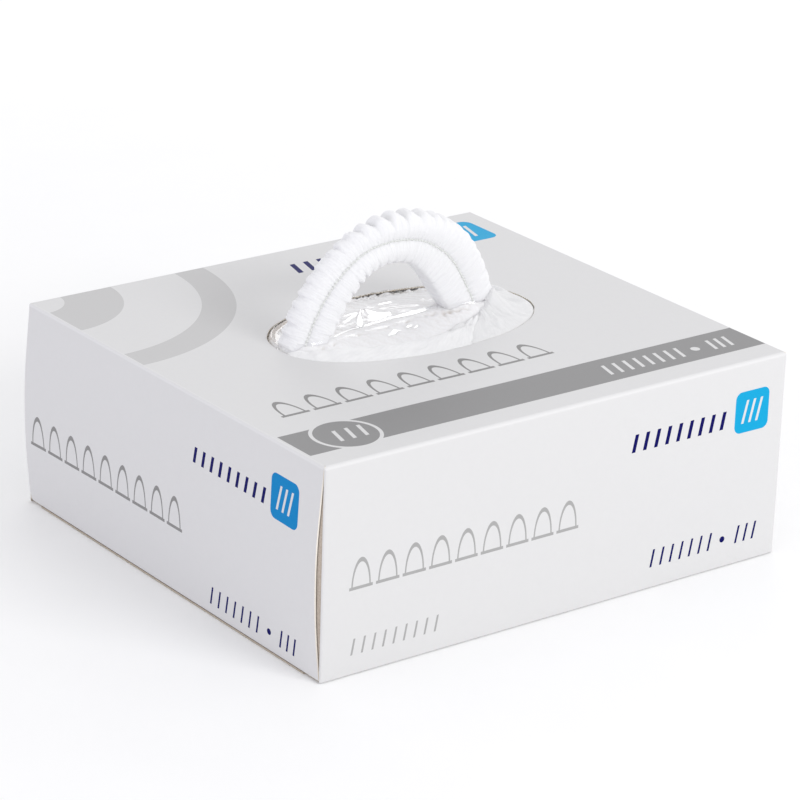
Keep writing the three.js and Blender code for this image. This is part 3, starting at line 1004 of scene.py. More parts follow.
@dataclass
class CartonSleeve:
    """Lid, front, base and back in one folded board, with the torn-out mouth in the lid."""

    carton: Carton = field(default_factory=Carton)
    mouth: Mouth = field(default_factory=Mouth)
    long_columns: int = 290
    end_columns: int = 190
    tooth_pitch: float = 1.75
    tooth_depth: float = 0.55
    base_crease: float = 1.0
    lip: tuple[float, float] = (-112.0, 114.0)
    end_bend: float = 0.9

    def cross_shares(self) -> Array:
        """Shares of the way along the panels, close together at the end creases.

        Returns:
            The shares, from -1 to 1.
        """
        ends = np.array([0, 0.25, 0.6, 1.2, 2.4]) / self.carton.half_length
        middle = np.linspace(-1 + ends[-1], 1 - ends[-1], self.long_columns + 1 - 8)
        return np.concatenate([-1 + ends[:-1], middle, 1 - ends[:-1][::-1]])

    def border(self) -> tuple[Array, Array, Array]:
        """The lid's border, from its right front corner round by the back.

        Returns:
            The border points' x and y, and the length along the mouth of each one's partner.
        """
        half_x = self.carton.lid_half
        half_y = self.carton.half_depth - self.carton.long_crease
        across = self.cross_shares()
        upward = np.linspace(-1, 1, self.end_columns + 1)
        x = np.concatenate([np.full(self.end_columns, half_x), across[:0:-1] * half_x,
                            np.full(self.end_columns, -half_x), across[:-1] * half_x])
        y = np.concatenate([upward[:-1] * half_y, np.full(self.long_columns, half_y),
                            upward[:0:-1] * half_y, np.full(self.long_columns, -half_y)])
        signs = ((1, -1), (1, 1), (-1, 1), (-1, -1))
        first, *others = [self._length_towards(sx * half_x, sy * half_y) for sx, sy in signs]
        whole = self._outline()[2][-1]
        ends = [first, *[length + (whole if length < first else 0) for length in others], first + whole]
        runs = zip(ends, ends[1:], 2 * [self.end_columns, self.long_columns])
        lengths = [np.linspace(start, end, count, endpoint=False) for start, end, count in runs]
        return x, y, np.concatenate(lengths)

    def _outline(self) -> tuple[Array, Array, Array]:
        """The mouth's outline, finely.

        Returns:
            Its x and y, and the length along it.
        """
        angle = np.linspace(0, 2 * np.pi, 4001)
        x, y = self.mouth.point(angle, 1)
        length = np.concatenate([[0], np.cumsum(np.hypot(np.diff(x), np.diff(y)))])
        return x, y, length

    def _length_towards(self, x: float, y: float) -> float:
        """The length along the mouth to where it is cut by the line to a point.

        Args:
            x: The point's x.
            y: Its y.

        Returns:
            The length.
        """
        outline_x, outline_y, length = self._outline()
        turn = np.mod(np.arctan2(outline_y - self.mouth.y, outline_x - self.mouth.x), 2 * np.pi)
        aim = math.atan2(y - self.mouth.y, x - self.mouth.x) % (2 * math.pi)
        return float(np.interp(aim, turn[:-1], length[:-1]))

    def torn_mouth(self, lengths: Array) -> tuple[Array, Array]:
        """The torn edge: the outline moved inwards by teeth, waves and one left-over tab.

        Args:
            lengths: Lengths along the mouth.

        Returns:
            The edge's x and y.
        """
        outline_x, outline_y, length = self._outline()
        along = np.mod(lengths, length[-1])
        x, y = np.interp(along, length, outline_x), np.interp(along, length, outline_y)
        to_x, to_y = self.mouth.x - x, self.mouth.y - y
        away = np.hypot(to_x, to_y)
        teeth = self.tooth_depth * pleat(along / self.tooth_pitch, 1.6)
        waves = 0.35 * Ripple(5).at(along / 14, along * 0)
        front = y < self.mouth.y
        tab = 3.4 * smooth_step(x, -2.2, -0.6) * (1 - smooth_step(x, 8.2, 17)) * front
        inward = (teeth + waves + tab) / away
        return x + inward * to_x, y + inward * to_y

    def lid_grid(self) -> Array:
        """The lid as rings from the torn mouth to the border: edge + share * (border - edge).

        Returns:
            The grid of points, a ring in each row.
        """
        border_x, border_y, lengths = self.border()
        edge_x, edge_y = self.torn_mouth(lengths)
        share = np.array([0, 0.006, 0.02, 0.06, 0.16, 0.35, 0.6, 0.85, 0.97, 1])[:, None]
        x = edge_x + share * (border_x - edge_x)
        y = edge_y + share * (border_y - edge_y)
        rise = 0.12 * Ripple(8).at(x / 90, y / 90) * np.minimum(1, (1 - share) * 4)
        return np.stack([x, y, self.carton.height + rise], -1)

    def wrap_profile(self) -> Array:
        """The path of the board from the lid's front edge round to its back edge.

        Returns:
            Rows of y, z, half length, and the panel's slot.
        """
        c = self.carton
        d, h, r, s = c.half_depth, c.height, c.long_crease, self.base_crease
        quarter = np.radians([0, 15, 30, 45, 60, 75, 90])
        short, long = c.lid_half, c.half_length
        halves = np.interp(quarter, np.radians([0, 15, 60, 90]), [short, short, long, long])
        front_top = [
            (-d + r - r * math.sin(a), h - r + r * math.cos(a), half, 1) for a, half in zip(quarter, halves)
        ]
        front = [(-d, z, long, 1) for z in np.linspace(h - r, s, 16)[1:-1]]
        front_foot = [(-d + s - s * math.cos(a), s - s * math.sin(a), long, 1) for a in quarter]
        lip_in, lip_out = self.lip
        base = [
            (-d + s + 0.4, 0, short, 2), (lip_in - 0.15, 0, short, 2), (lip_in, 0, long, 2),
            (lip_out, 0, long, 2), (lip_out + 0.15, 0, short, 2), (d - s - 0.4, 0, short, 2),
        ]
        back_foot = [(-y, z, w, 3) for y, z, w, _ in front_foot[::-1]]
        back = [(d, z, long, 3) for z in np.linspace(s, h - r, 16)[1:-1]]
        back_top = [(-y, z, w, 3) for y, z, w, _ in front_top[::-1]]
        return np.array(front_top + front + front_foot + base + back_foot + back + back_top)

    def wrap_grid(self) -> tuple[Array, Array]:
        """The board below the lid: the profile carried across, its panels slightly bowed.

        Returns:
            The grid of points, and the slot of each row of faces.
        """
        profile = self.wrap_profile()
        share = self.cross_shares()[None, :]
        y, z, half = (profile[:, k, None] + 0 * share for k in range(3))
        x = share * half
        depth = self.carton.half_depth
        upright = np.abs(y) > depth - 0.01
        bow = 0.5 * np.sin(np.pi * z / self.carton.height) * np.cos(np.pi * share / 2)
        bow = bow + 0.22 * Ripple(12).at(x / 70, z / 60) * np.sin(np.pi * z / self.carton.height)
        from_end = half - np.abs(x)
        r = self.end_bend
        bend = r - np.sqrt(np.maximum(0, r * r - np.maximum(0, r - from_end) ** 2))
        on_side = smooth_step(np.abs(y), depth - 1.5, depth - 0.4)
        y = y - np.sign(y) * (bow * upright + bend * on_side)
        return np.stack([x, y, z], -1), profile[:-1, 3].astype(int)

    def build(
        self, board: PrintedBoard, back: bpy.types.Material, raw: bpy.types.Material
    ) -> bpy.types.Object:
        """Joins the lid to the wrap and gives the board its thickness.

        Args:
            board: The printed finish.
            back: The material of the board's inside.
            raw: The material of its cut edges.

        Returns:
            The piece sleeve_board.
        """
        lid = self.lid_grid()
        rings, columns = lid.shape[:2]
        wrap, row_slots = self.wrap_grid()
        lid_faces = grid_faces(rings, columns, wraps=True)
        wrap_faces = grid_faces(*wrap.shape[:2], first=rings * columns)[:, ::-1]
        slots = np.concatenate([np.zeros(len(lid_faces), int), np.repeat(row_slots, wrap.shape[1] - 1)])
        printed = [board.material(Panel.LID), board.material(Panel.LONG_SIDE), board.material(Panel.BASE),
                   board.material(Panel.LONG_SIDE, mirrored=True)]
        points = np.concatenate([lid.reshape(-1, 3), wrap.reshape(-1, 3)])
        faces = np.concatenate([lid_faces[:, ::-1], wrap_faces])
        thing = make_object("sleeve_board", points, faces, printed + 4 * [back] + 4 * [raw], slots)
        merge_doubles(thing, 0.02)
        thicken(thing, self.carton.drawn_board, 4)
        return thing


@dataclass
class EndClosure:
    """An end panel that hangs from the lid's crease, with its tuck tongue on the base."""

    side: int
    carton: Carton = field(default_factory=Carton)
    crease: float = 1.1
    foot: float = 0.9
    fold: float = 0.78
    tongue: float = 22
    tongue_half: float = 119
    set_back: float = 2.2
    bow_front: float = 2.0
    bow_back: float = 3.3
    bow_middle: float = 0.5
    rounding: float = 6.0
    tongue_corner: float = 8
    columns: int = 120

    def profile(self) -> Array:
        """The path from the lid's end over the crease, down the panel and along the tongue.

        Returns:
            Rows of x and z.
        """
        c = self.carton
        quarter = np.radians(np.linspace(0, 90, 7))
        bend, shoulder = self.crease, c.height - self.crease
        top = [(c.lid_half + bend * math.sin(a), shoulder + bend * math.cos(a)) for a in quarter]
        r, turn = self.fold, c.half_length - self.fold
        panel = [(c.half_length, z) for z in np.linspace(shoulder, self.foot + r, 30)[1:-1]]
        fold = [(turn + r * math.cos(a), self.foot + r - r * math.sin(a)) for a in quarter]
        tongue = [(x, self.foot) for x in np.linspace(turn, c.half_length - self.tongue, 8)[1:]]
        return np.array(top + panel + fold + tongue)

    def bow(self, y: Array, z: Array) -> Array:
        """How far the panel bows out: sin(pi z / height)^1.1 * (middle + more at the edges + a wave).

        Args:
            y: Places along Y.
            z: Heights.

        Returns:
            The distance in millimetres.
        """
        c = self.carton
        belly = np.sin(np.pi * np.clip(z / c.height, 0, 1)) ** 1.1
        share = y / c.end_half
        wave = Ripple(21 + self.side).at(y / 45, z / 38)
        edge = np.where(share < 0, self.bow_front, self.bow_back)
        return belly * (self.bow_middle + (edge - self.bow_middle) * share**2 + 0.25 * wave)

    def grid(self) -> Array:
        """The profile carried along the end and bowed outwards.

        Its front edge is set back, and its back corner at the foot is a quarter round.

        Returns:
            The grid of points.
        """
        c = self.carton
        path = self.profile()
        x, z = path[:, 0, None], path[:, 1, None]
        inner = np.clip((c.half_length - 1 - x) / (self.tongue - 1), 0, 1)
        near_belly = np.sin(np.pi * np.clip(z / c.height, 0, 1) ** 0.8) ** 1.2
        past = np.clip((inner - 0.62) / 0.38, 0, 1)
        corner = self.tongue_corner * (1 - np.sqrt(np.maximum(0, 1 - past**2)))
        reach = np.where(inner > 0, self.tongue_half + 3 * (1 - inner) - corner, c.end_half)
        share = np.linspace(-1, 1, self.columns + 1)[None, :]
        low = np.clip((self.rounding - z) / self.rounding, 0, 1)
        cut = self.rounding * (1 - np.sqrt(1 - 0.9 * low**2)) * (inner == 0)
        y = share * (reach - np.where(share > 0, cut, 0))
        edge = smooth_step(np.abs(share), 0.55, 1)
        y = y + np.where(share < 0, self.set_back, 0) * near_belly * edge * (inner == 0)
        bow = self.bow(y, z) * (inner == 0)
        return np.stack([self.side * (x + bow), y, z + 0 * y], -1)

    def build(
        self, board: PrintedBoard, back: bpy.types.Material, raw: bpy.types.Material
    ) -> bpy.types.Object:
        """Makes the board's outer surface from its grid and gives it its thickness.

        Args:
            board: The printed finish.
            back: The material of the board's inside.
            raw: The material of its cut edges.

        Returns:
            The piece closure_board of this side.
        """
        points = self.grid()
        faces = grid_faces(*points.shape[:2])
        if self.side > 0:
            faces = faces[:, ::-1]
        name = "closure_board_" + ("left" if self.side < 0 else "right")
        printed = board.material(Panel.END, self.side > 0)
        thing = make_object(name, points, faces[:, ::-1], [printed, back, raw])
        orient(thing, (self.side, 0, 0.4))
        thicken(thing, self.carton.drawn_board, 1)
        return thing


@dataclass
class DustFlap:
    """A dust flap behind an end closure. It bulges with the closure and shows beside its edge."""

    closure: EndClosure
    end: int
    length: float = 64
    taper: float = 5
    ease: float = 60
    rows: int = 40

    def build(self, name: str, back: bpy.types.Material, raw: bpy.types.Material) -> bpy.types.Object:
        """A board from its root at the end crease to its tip, narrower there.

        Its outer face lies a gap behind the closure near the root, and eases to flat.

        Args:
            name: The piece's name.
            back: The material of both its faces.
            raw: The material of its cut edges.

        Returns:
            The piece.
        """
        c = self.closure.carton
        root = np.linspace(0, 4, 8, endpoint=False)
        inset = np.concatenate([root, np.linspace(4, self.length, 32)])[None, :]
        low, high = 2 * (c.board + c.gap), c.height - c.board - c.gap
        narrow = self.taper * inset / self.length
        z = low + narrow + np.linspace(0, 1, self.rows)[:, None] * (high - low - 2 * narrow)
        y = self.end * (c.end_half - inset) + 0 * z
        bulge = self.closure.bow(y, z) * (1 - smooth_step(inset, 0, self.ease))
        x = self.closure.side * (c.half_length - c.board - c.gap + np.minimum(bulge, 0.9 + 1.2 * inset))
        thing = make_object(name, np.stack([x, y, z], -1), grid_faces(*z.shape), [back, back, raw])
        orient(thing, (self.closure.side, 0, 0))
        thicken(thing, c.drawn_board, 1)
        return thing


@dataclass
class Arch:
    """The centre line and the sections of the gathered strip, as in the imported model.

    Each row gives x, y and z of the line over the lid, half the section's width, half its
    depth, and its turn in degrees.
    """

    rows: tuple[tuple[float, ...], ...] = (
        (-80, 6, -42, 9.0, 6.5, 12),
        (-68, 6, -24, 9.5, 7.0, 16),
        (-58, 6, -3, 11.2, 7.2, 22),
        (-50, 6, 13.5, 12.0, 7.1, 26),
        (-39, 6, 28.5, 11.6, 7.0, 26),
        (-25, 6, 40, 11.2, 7.0, 19),
        (-8, 6, 45.4, 12.4, 7.3, 0),
        (10, 6.3, 43, 13.3, 7.6, -7),
        (25, 6.3, 33, 15.2, 8.3, -6),
        (35.5, 6.3, 18, 15.0, 8.0, -5),
        (43.5, 6, 3, 12.5, 7.6, -9),
        (48, 6, -9, 10.5, 7.0, -9),
    )
    lid_top: float = 105
    power: float = 2.4

    def __post_init__(self) -> None:
        """Measures the centre line."""
        self._table = np.array(self.rows)
        self._fine = np.linspace(0, len(self.rows) - 1, 4401)
        steps = np.linalg.norm(np.diff(self._path(self._fine), axis=0), axis=1)
        self._length = np.concatenate([[0], np.cumsum(steps)])
        self.length = float(self._length[-1])

    def _ends(self, values: Array) -> Array:
        """The values with one more row at each end, carried on in a straight line."""
        return np.concatenate([[2 * values[0] - values[1]], values, [2 * values[-1] - values[-2]]])

    def _spline(self, values: Array, position: Array, even: bool) -> Array:
        """A Catmull-Rom curve through rows.

        Args:
            values: The rows.
            position: Where the curve is read, 0 at the first row and 1 more at each next one.
            even: Whether the knots are spaced evenly, and not by the root of their distance.

        Returns:
            A row for each position.
        """
        rows = self._ends(values)
        k = np.clip(position.astype(int), 0, len(values) - 2)
        t = (position - k)[:, None]
        p0, p1, p2, p3 = (rows[k + step] for step in range(4))
        if even:
            m1, m2 = (p2 - p0) / 2, (p3 - p1) / 2
        else:
            pairs = ((p0, p1), (p1, p2), (p2, p3))
            d0, d1, d2 = (np.linalg.norm(b - a, axis=1)[:, None] ** 0.5 for a, b in pairs)
            m1 = ((p1 - p0) / d0 - (p2 - p0) / (d0 + d1) + (p2 - p1) / d1) * d1
            m2 = ((p2 - p1) / d1 - (p3 - p1) / (d1 + d2) + (p3 - p2) / d2) * d1
        c2, c3 = -3 * p1 + 3 * p2 - 2 * m1 - m2, 2 * p1 - 2 * p2 + m1 + m2
        return p1 + m1 * t + c2 * t**2 + c3 * t**3

    def _path(self, position: Array) -> Array:
        """Points of the centre line at positions among the rows."""
        line = self._table[:, :3] + np.array([0, 0, self.lid_top])
        return self._spline(line, position, even=False)

    def sections(self, lengths: Array) -> dict[str, Array]:
        """The sections at lengths along the centre line.

        Args:
            lengths: Lengths from the left end in millimetres.

        Returns:
            centre, along, inner and front as rows of vectors, and half_width and half_depth.
        """
        position = np.interp(lengths, self._length, self._fine)
        step = 1e-3
        low = np.clip(position - step, 0, len(self.rows) - 1)
        high = np.clip(position + step, 0, len(self.rows) - 1)
        along = self._path(high) - self._path(low)
        along /= np.linalg.norm(along, axis=1)[:, None]
        inward = np.cross(along, [0, -1, 0])
        inward /= np.linalg.norm(inward, axis=1)[:, None]
        forward = np.cross(inward, along)
        form = self._spline(self._table[:, 3:], position, even=True)
        turn = np.radians(form[:, 2:3])
        return {
            "centre": self._path(position),
            "along": along,
            "inner": inward * np.cos(turn) + forward * np.sin(turn),
            "front": forward * np.cos(turn) - inward * np.sin(turn),
            "half_width": form[:, 0:1],
            "half_depth": form[:, 1:2],
        }

    def rings(self, parts: dict[str, Array], across: Array, forward: Array) -> Array:
        """centre + across * inner + forward * front: a ring of points in each section."""
        sideways, frontways = parts["inner"][:, None], parts["front"][:, None]
        return parts["centre"][:, None] + across[..., None] * sideways + forward[..., None] * frontways

    def inside(self, points: Array, margin: float) -> Array:
        """Which points lie inside the strip, by its nearest section.

        Args:
            points: The points.
            margin: How deep inside they are to lie.

        Returns:
            True or false for each point.
        """
        parts = self.sections(np.linspace(0, self.length, 240))
        offset = points[:, None, :] - parts["centre"][None]
        along, across, forward = (
            np.einsum("pnk,nk->pn", offset, parts[axis]) for axis in ("along", "inner", "front")
        )
        along = np.abs(along)
        across = across / (parts["half_width"][:, 0] - margin)
        forward = forward / (parts["half_depth"][:, 0] - margin)
        within = np.abs(across) ** self.power + np.abs(forward) ** self.power < 1
        return (within & (along < 0.6)).any(1)


@dataclass
class CapStrip:
    """The gathered strip of the cap: folds across it on both sides of the elastic's seam."""

    arch: Arch
    buried: float = 36
    buried_stations: int = 20
    stations: int = 750
    sides: int = 128
    outer_tips: tuple[float, ...] = (
        0, 7, 14, 21, 27.5, 34, 40, 46, 52, 57.9, 64.8, 70.1, 76.7, 83.2, 90.5, 95.5, 101.7, 107.6,
        114.7, 121.0, 127.6, 134.8, 140.4, 145.0, 149.0, 153, 158, 163, 168, 174, 181, 188, 195, 203,
    )
    inner_lag: float = 1.6
    seam_depth: float = 0.60
    seam_width: float = 1.15
    stitch_pitch: float = 1.9

    def tables(self, lengths: Array) -> dict[str, Array]:
        """Values that change along the strip.

        outer and inner are the depths of the folds on its two sides, valley the fraction
        between two tips at which the valley lies, round the roundness of the tips, and
        reach a power that says how near the outer line the outer folds stay. The last two
        are the powers of the section's two halves.

        Args:
            lengths: Lengths along the strip.

        Returns:
            A column of values for each name.
        """
        knots = [0, 45, 60, 75, 90, 97, 104, 110, 117, 124, 131, 137, 142, 150, 165, 203]
        rows = {
            "outer": [1.2, 1.3, 1.8, 2.4, 2.3, 2.0, 2.6, 4.5, 4.5, 3.9, 3.4, 2.2, 2.0, 1.2, 1.1, 0.9],
            "inner": [1.0, 1.2, 1.5, 1.7, 1.7, 1.5, 1.4, 1.2, 1.0, 0.7, 0.4, 0.2, 0.2, 0.2, 0.2, 0.2],
            "valley": [
                0.70, 0.70, 0.72, 0.74, 0.72, 0.66, 0.55, 0.50, 0.52, 0.56, 0.62, 0.6, 0.6, 0.4, 0.4, 0.4,
            ],
            "round": [1.2, 1.2, 1.15, 1.15, 1.2, 1.3, 1.5, 1.7, 1.7, 1.7, 1.5, 1.1, 1.1, 1.2, 1.3, 1.3],
            "reach": [4.6, 4.6, 4.4, 4.0, 4.0, 3.8, 3.4, 3.1, 3.0, 3.0, 3.2, 3.6, 4.0, 5.0, 5.0, 5.0],
            "inner_power": [2.6, 2.6, 2.6, 2.6, 2.6, 2.6, 2.6, 2.7, 2.9, 3.4, 4.2, 5.2, 6.2, 7.5, 8.0, 8.0],
            "outer_power": [2.6, 2.6, 2.6, 2.6, 2.7, 2.8, 2.9, 3.0, 3.0, 3.0, 3.0, 3.2, 3.4, 3.6, 3.8, 3.8],
        }
        return {key: np.interp(lengths, knots, row)[:, None] for key, row in rows.items()}

    def fold_lines(self, place: Array, valley: Array, roundness: Array) -> tuple[Array, Array]:
        """Lobes between the valleys of the folds.

        The place is turned into a fraction of the way from one tip to the next. The height
        is 1 - (fraction / valley)^roundness up to the valley. After it the same is taken
        from the far tip with 1.9 times that power, so each lobe starts steeply.

        Args:
            place: Lengths along the strip.
            valley: The fraction at which the valley lies.
            roundness: 1 for a straight slope, more for a rounder tip.

        Returns:
            The height from 0 to 1, and how near the valley is, from 0 to 1.
        """
        fraction = np.mod(np.interp(place, self.outer_tips, np.arange(len(self.outer_tips))), 1)
        before = np.clip(fraction / valley, 0, 1) ** roundness
        after = np.clip((1 - fraction) / (1 - valley), 0, 1) ** (1.9 * roundness)
        height = 1 - np.where(fraction < valley, before, after)
        near = np.exp(-(((fraction - valley) / 0.13) ** 2))
        return height, near

    def relief(self, lengths: Array, angle: Array, across: Array, half_width: Array) -> tuple[Array, Array]:
        """How far the cloth stands off the smooth section, and how high each fold is, which sets its painted
        shade.

        The relief is the sum of outer lobes, inner lobes, creases across the face, middle
        pleats and fine pleats, plus two soft bands beside the seam, less its groove.

        Args:
            lengths: Lengths along the strip, one for each station.
            angle: The angles round the section.
            across: How far each point lies from the seam's line.
            half_width: The sections' half widths.

        Returns:
            The offset in millimetres and the fold height from 0 to 1, stations by angles. A low fold height
            is painted as shade.
        """
        s = lengths[:, None]
        c, f = np.cos(angle)[None, :], np.sin(angle)[None, :]
        table = self.tables(lengths)
        edge = np.abs(c) ** 1.4
        outer_side, inner_side = np.clip(-c, 0, 1) ** table["reach"], np.clip(c, 0, 1) ** 3.2
        face = np.clip(f, 0, 1)
        warp = Ripple(31).at(s / 11, c * 0.8) + 0.5 * Ripple(32).at(s / 3.5, c * 1.7 + f)
        place = s - self.inner_lag * np.clip(c, 0, 1) + 0.5 * warp * (1 - np.clip(-c, 0, 1) ** 3)
        lobe, near_valley = self.fold_lines(place, table["valley"], table["round"])
        size = np.clip(1 + 1.1 * Ripple(34).at(s / 7, c * 0) * (1 - smooth_step(s, 96, 106)), 0.25, 2.2)
        outer = -table["outer"] * size * outer_side * (1 - lobe)
        inner = inner_side * (0.5 - table["inner"] * size * (1 - lobe))
        crossing = -(0.10 + 0.20 * Ripple(33).at(s / 9, c * 1.5)) * near_valley
        crossing = crossing * (1 - outer_side) * (1 - inner_side)
        middle_pleats = pleat((s + 0.9 * warp) / 3.1 + 0.35 * Ripple(35).at(s / 7, c * 2), 0.8)
        strength = np.clip(0.6 + 0.6 * Ripple(36).at(s / 9, c * 1.3 + 0.5 * f), 0, 1.4)
        middle = (0.10 + 0.16 * edge) * strength * (middle_pleats - 0.7)
        fine_pleats = pleat((s + 0.7 * warp) / 1.25 + 0.35 * Ripple(37).at(s / 2.2, c * 3), 0.9)
        fine_strength = np.clip(0.7 + 0.5 * Ripple(38).at(s / 5, c * 2), 0, 1.3)
        fine = 0.15 * fine_strength * (fine_pleats - 0.6)
        beside = np.abs(across) / half_width
        calm = 1 - 0.7 * smooth_step(s, 125, 150)
        bands = 0.8 * calm * face * np.exp(-(((beside - 0.5) / 0.30) ** 2))
        frill_strength = 0.45 * np.abs(c) ** 8 * np.clip(0.7 + Ripple(39).at(s / 4, c), 0, 1.6)
        frill = frill_strength * (pleat(s / 1.7 + 0.5 * warp, 1) - 0.5)
        near_seam = np.exp(-((across / self.seam_width) ** 2)) * (f > 0)
        stitches = 0.6 + 0.5 * pleat(s / self.stitch_pitch, 1.2)
        wide_valley = 0.45 * np.exp(-((across / 3.2) ** 2)) * face
        pinch = 0.30 * np.exp(-((across / 3.4) ** 2)) * face * (pleat(s / 2.3 + 0.4 * warp, 1) - 0.5)
        groove = self.seam_depth * near_seam * stitches + wide_valley - pinch
        offset = outer + inner + crossing + middle + fine + bands + frill - groove
        # Painted shade: the fold height darkens the cloth in the pleats' valleys, between the lobes on both
        # sides and along the seam.
        fold = 0.90 + 0.16 * strength * (middle_pleats - 0.6) + 0.12 * fine_strength * (fine_pleats - 0.6)
        fold = fold - 0.12 * outer_side * (1 - lobe) ** 2 - 0.35 * inner_side * (1 - lobe) ** 2
        return offset, np.clip(fold - 0.10 * near_seam, 0, 1)

    def build(self, cloth: bpy.types.Material) -> bpy.types.Object:
        """Carries the section along the arch: centre + across * inner + forward * front.

        Args:
            cloth: The cap's cloth.

        Returns:
            The piece cap_strip.
        """
        lengths = np.concatenate([np.linspace(0, self.buried, self.buried_stations, endpoint=False),
                                  np.linspace(self.buried, self.arch.length, self.stations)])
        parts = self.arch.sections(lengths)
        angle = -np.linspace(0, 2 * np.pi, self.sides, endpoint=False)
        table = self.tables(lengths)
        cosine, sine = np.cos(angle)[None, :], np.sin(angle)[None, :]
        power = np.where(cosine > 0, table["inner_power"], table["outer_power"])
        radius = (np.abs(cosine) ** power + np.abs(sine) ** power) ** (-1 / power)
        across, forward = parts["half_width"] * radius * cosine, parts["half_depth"] * radius * sine
        normal_a = signed_power(radius * cosine, power - 1) / parts["half_width"]
        normal_f = signed_power(radius * sine, power - 1) / parts["half_depth"]
        size = np.hypot(normal_a, normal_f)
        offset, fold = self.relief(lengths, angle, across, parts["half_width"])
        across = across + offset * normal_a / size
        forward = forward + offset * normal_f / size
        return make_tube("cap_strip", self.arch.rings(parts, across, forward), cloth, {"fold": fold})


@dataclass
class SeamThread:
    """The elastic thread in the seam, which dips under the cloth at each stitch."""

    arch: Arch
    radius: float = 0.52
    depth: float = 1.0
    dip: float = 0.26
    stitch_pitch: float = 1.9
    stations: int = 1100
    sides: int = 6
    margin: float = 3

    def build(self, yarn: bpy.types.Material) -> bpy.types.Object:
        """Carries a small ring along the groove, raised by dip * cos(2 pi s / pitch).

        Args:
            yarn: The thread's material.

        Returns:
            The piece seam_thread.
        """
        lengths = np.linspace(self.margin, self.arch.length - self.margin, self.stations)
        parts = self.arch.sections(lengths)
        angle = -np.linspace(0, 2 * np.pi, self.sides, endpoint=False)[None, :]
        phase = 2 * np.pi * lengths / self.stitch_pitch + 1.5 * Ripple(42).at(lengths / 5, lengths * 0)
        wave = np.cos(phase)[:, None]
        sway = 0.25 * Ripple(41).at(lengths / 6, lengths * 0)[:, None]
        across = sway + self.radius * np.cos(angle)
        forward = parts["half_depth"] - self.depth + self.dip * wave + self.radius * np.sin(angle)
        return make_tube("seam_thread", self.arch.rings(parts, across, forward), yarn)


@dataclass(frozen=True)
class Leaf:
    """One leaf of the cap's loose cloth.

    Each row gives an angle on the mouth's rim in degrees, and x and y of the inner end
    there. reach is the share of the mouth at which the leaf ends, and drop its height
    there over the film's edge. On a leaf that lands, the first side runs down into the
    film too.
    """

    name: str
    rows: tuple[tuple[float, float, float], ...]
    level: float
    reach: float
    drop: float
    seed: int
    columns: int
    rings: int = 64
    lands: bool = False


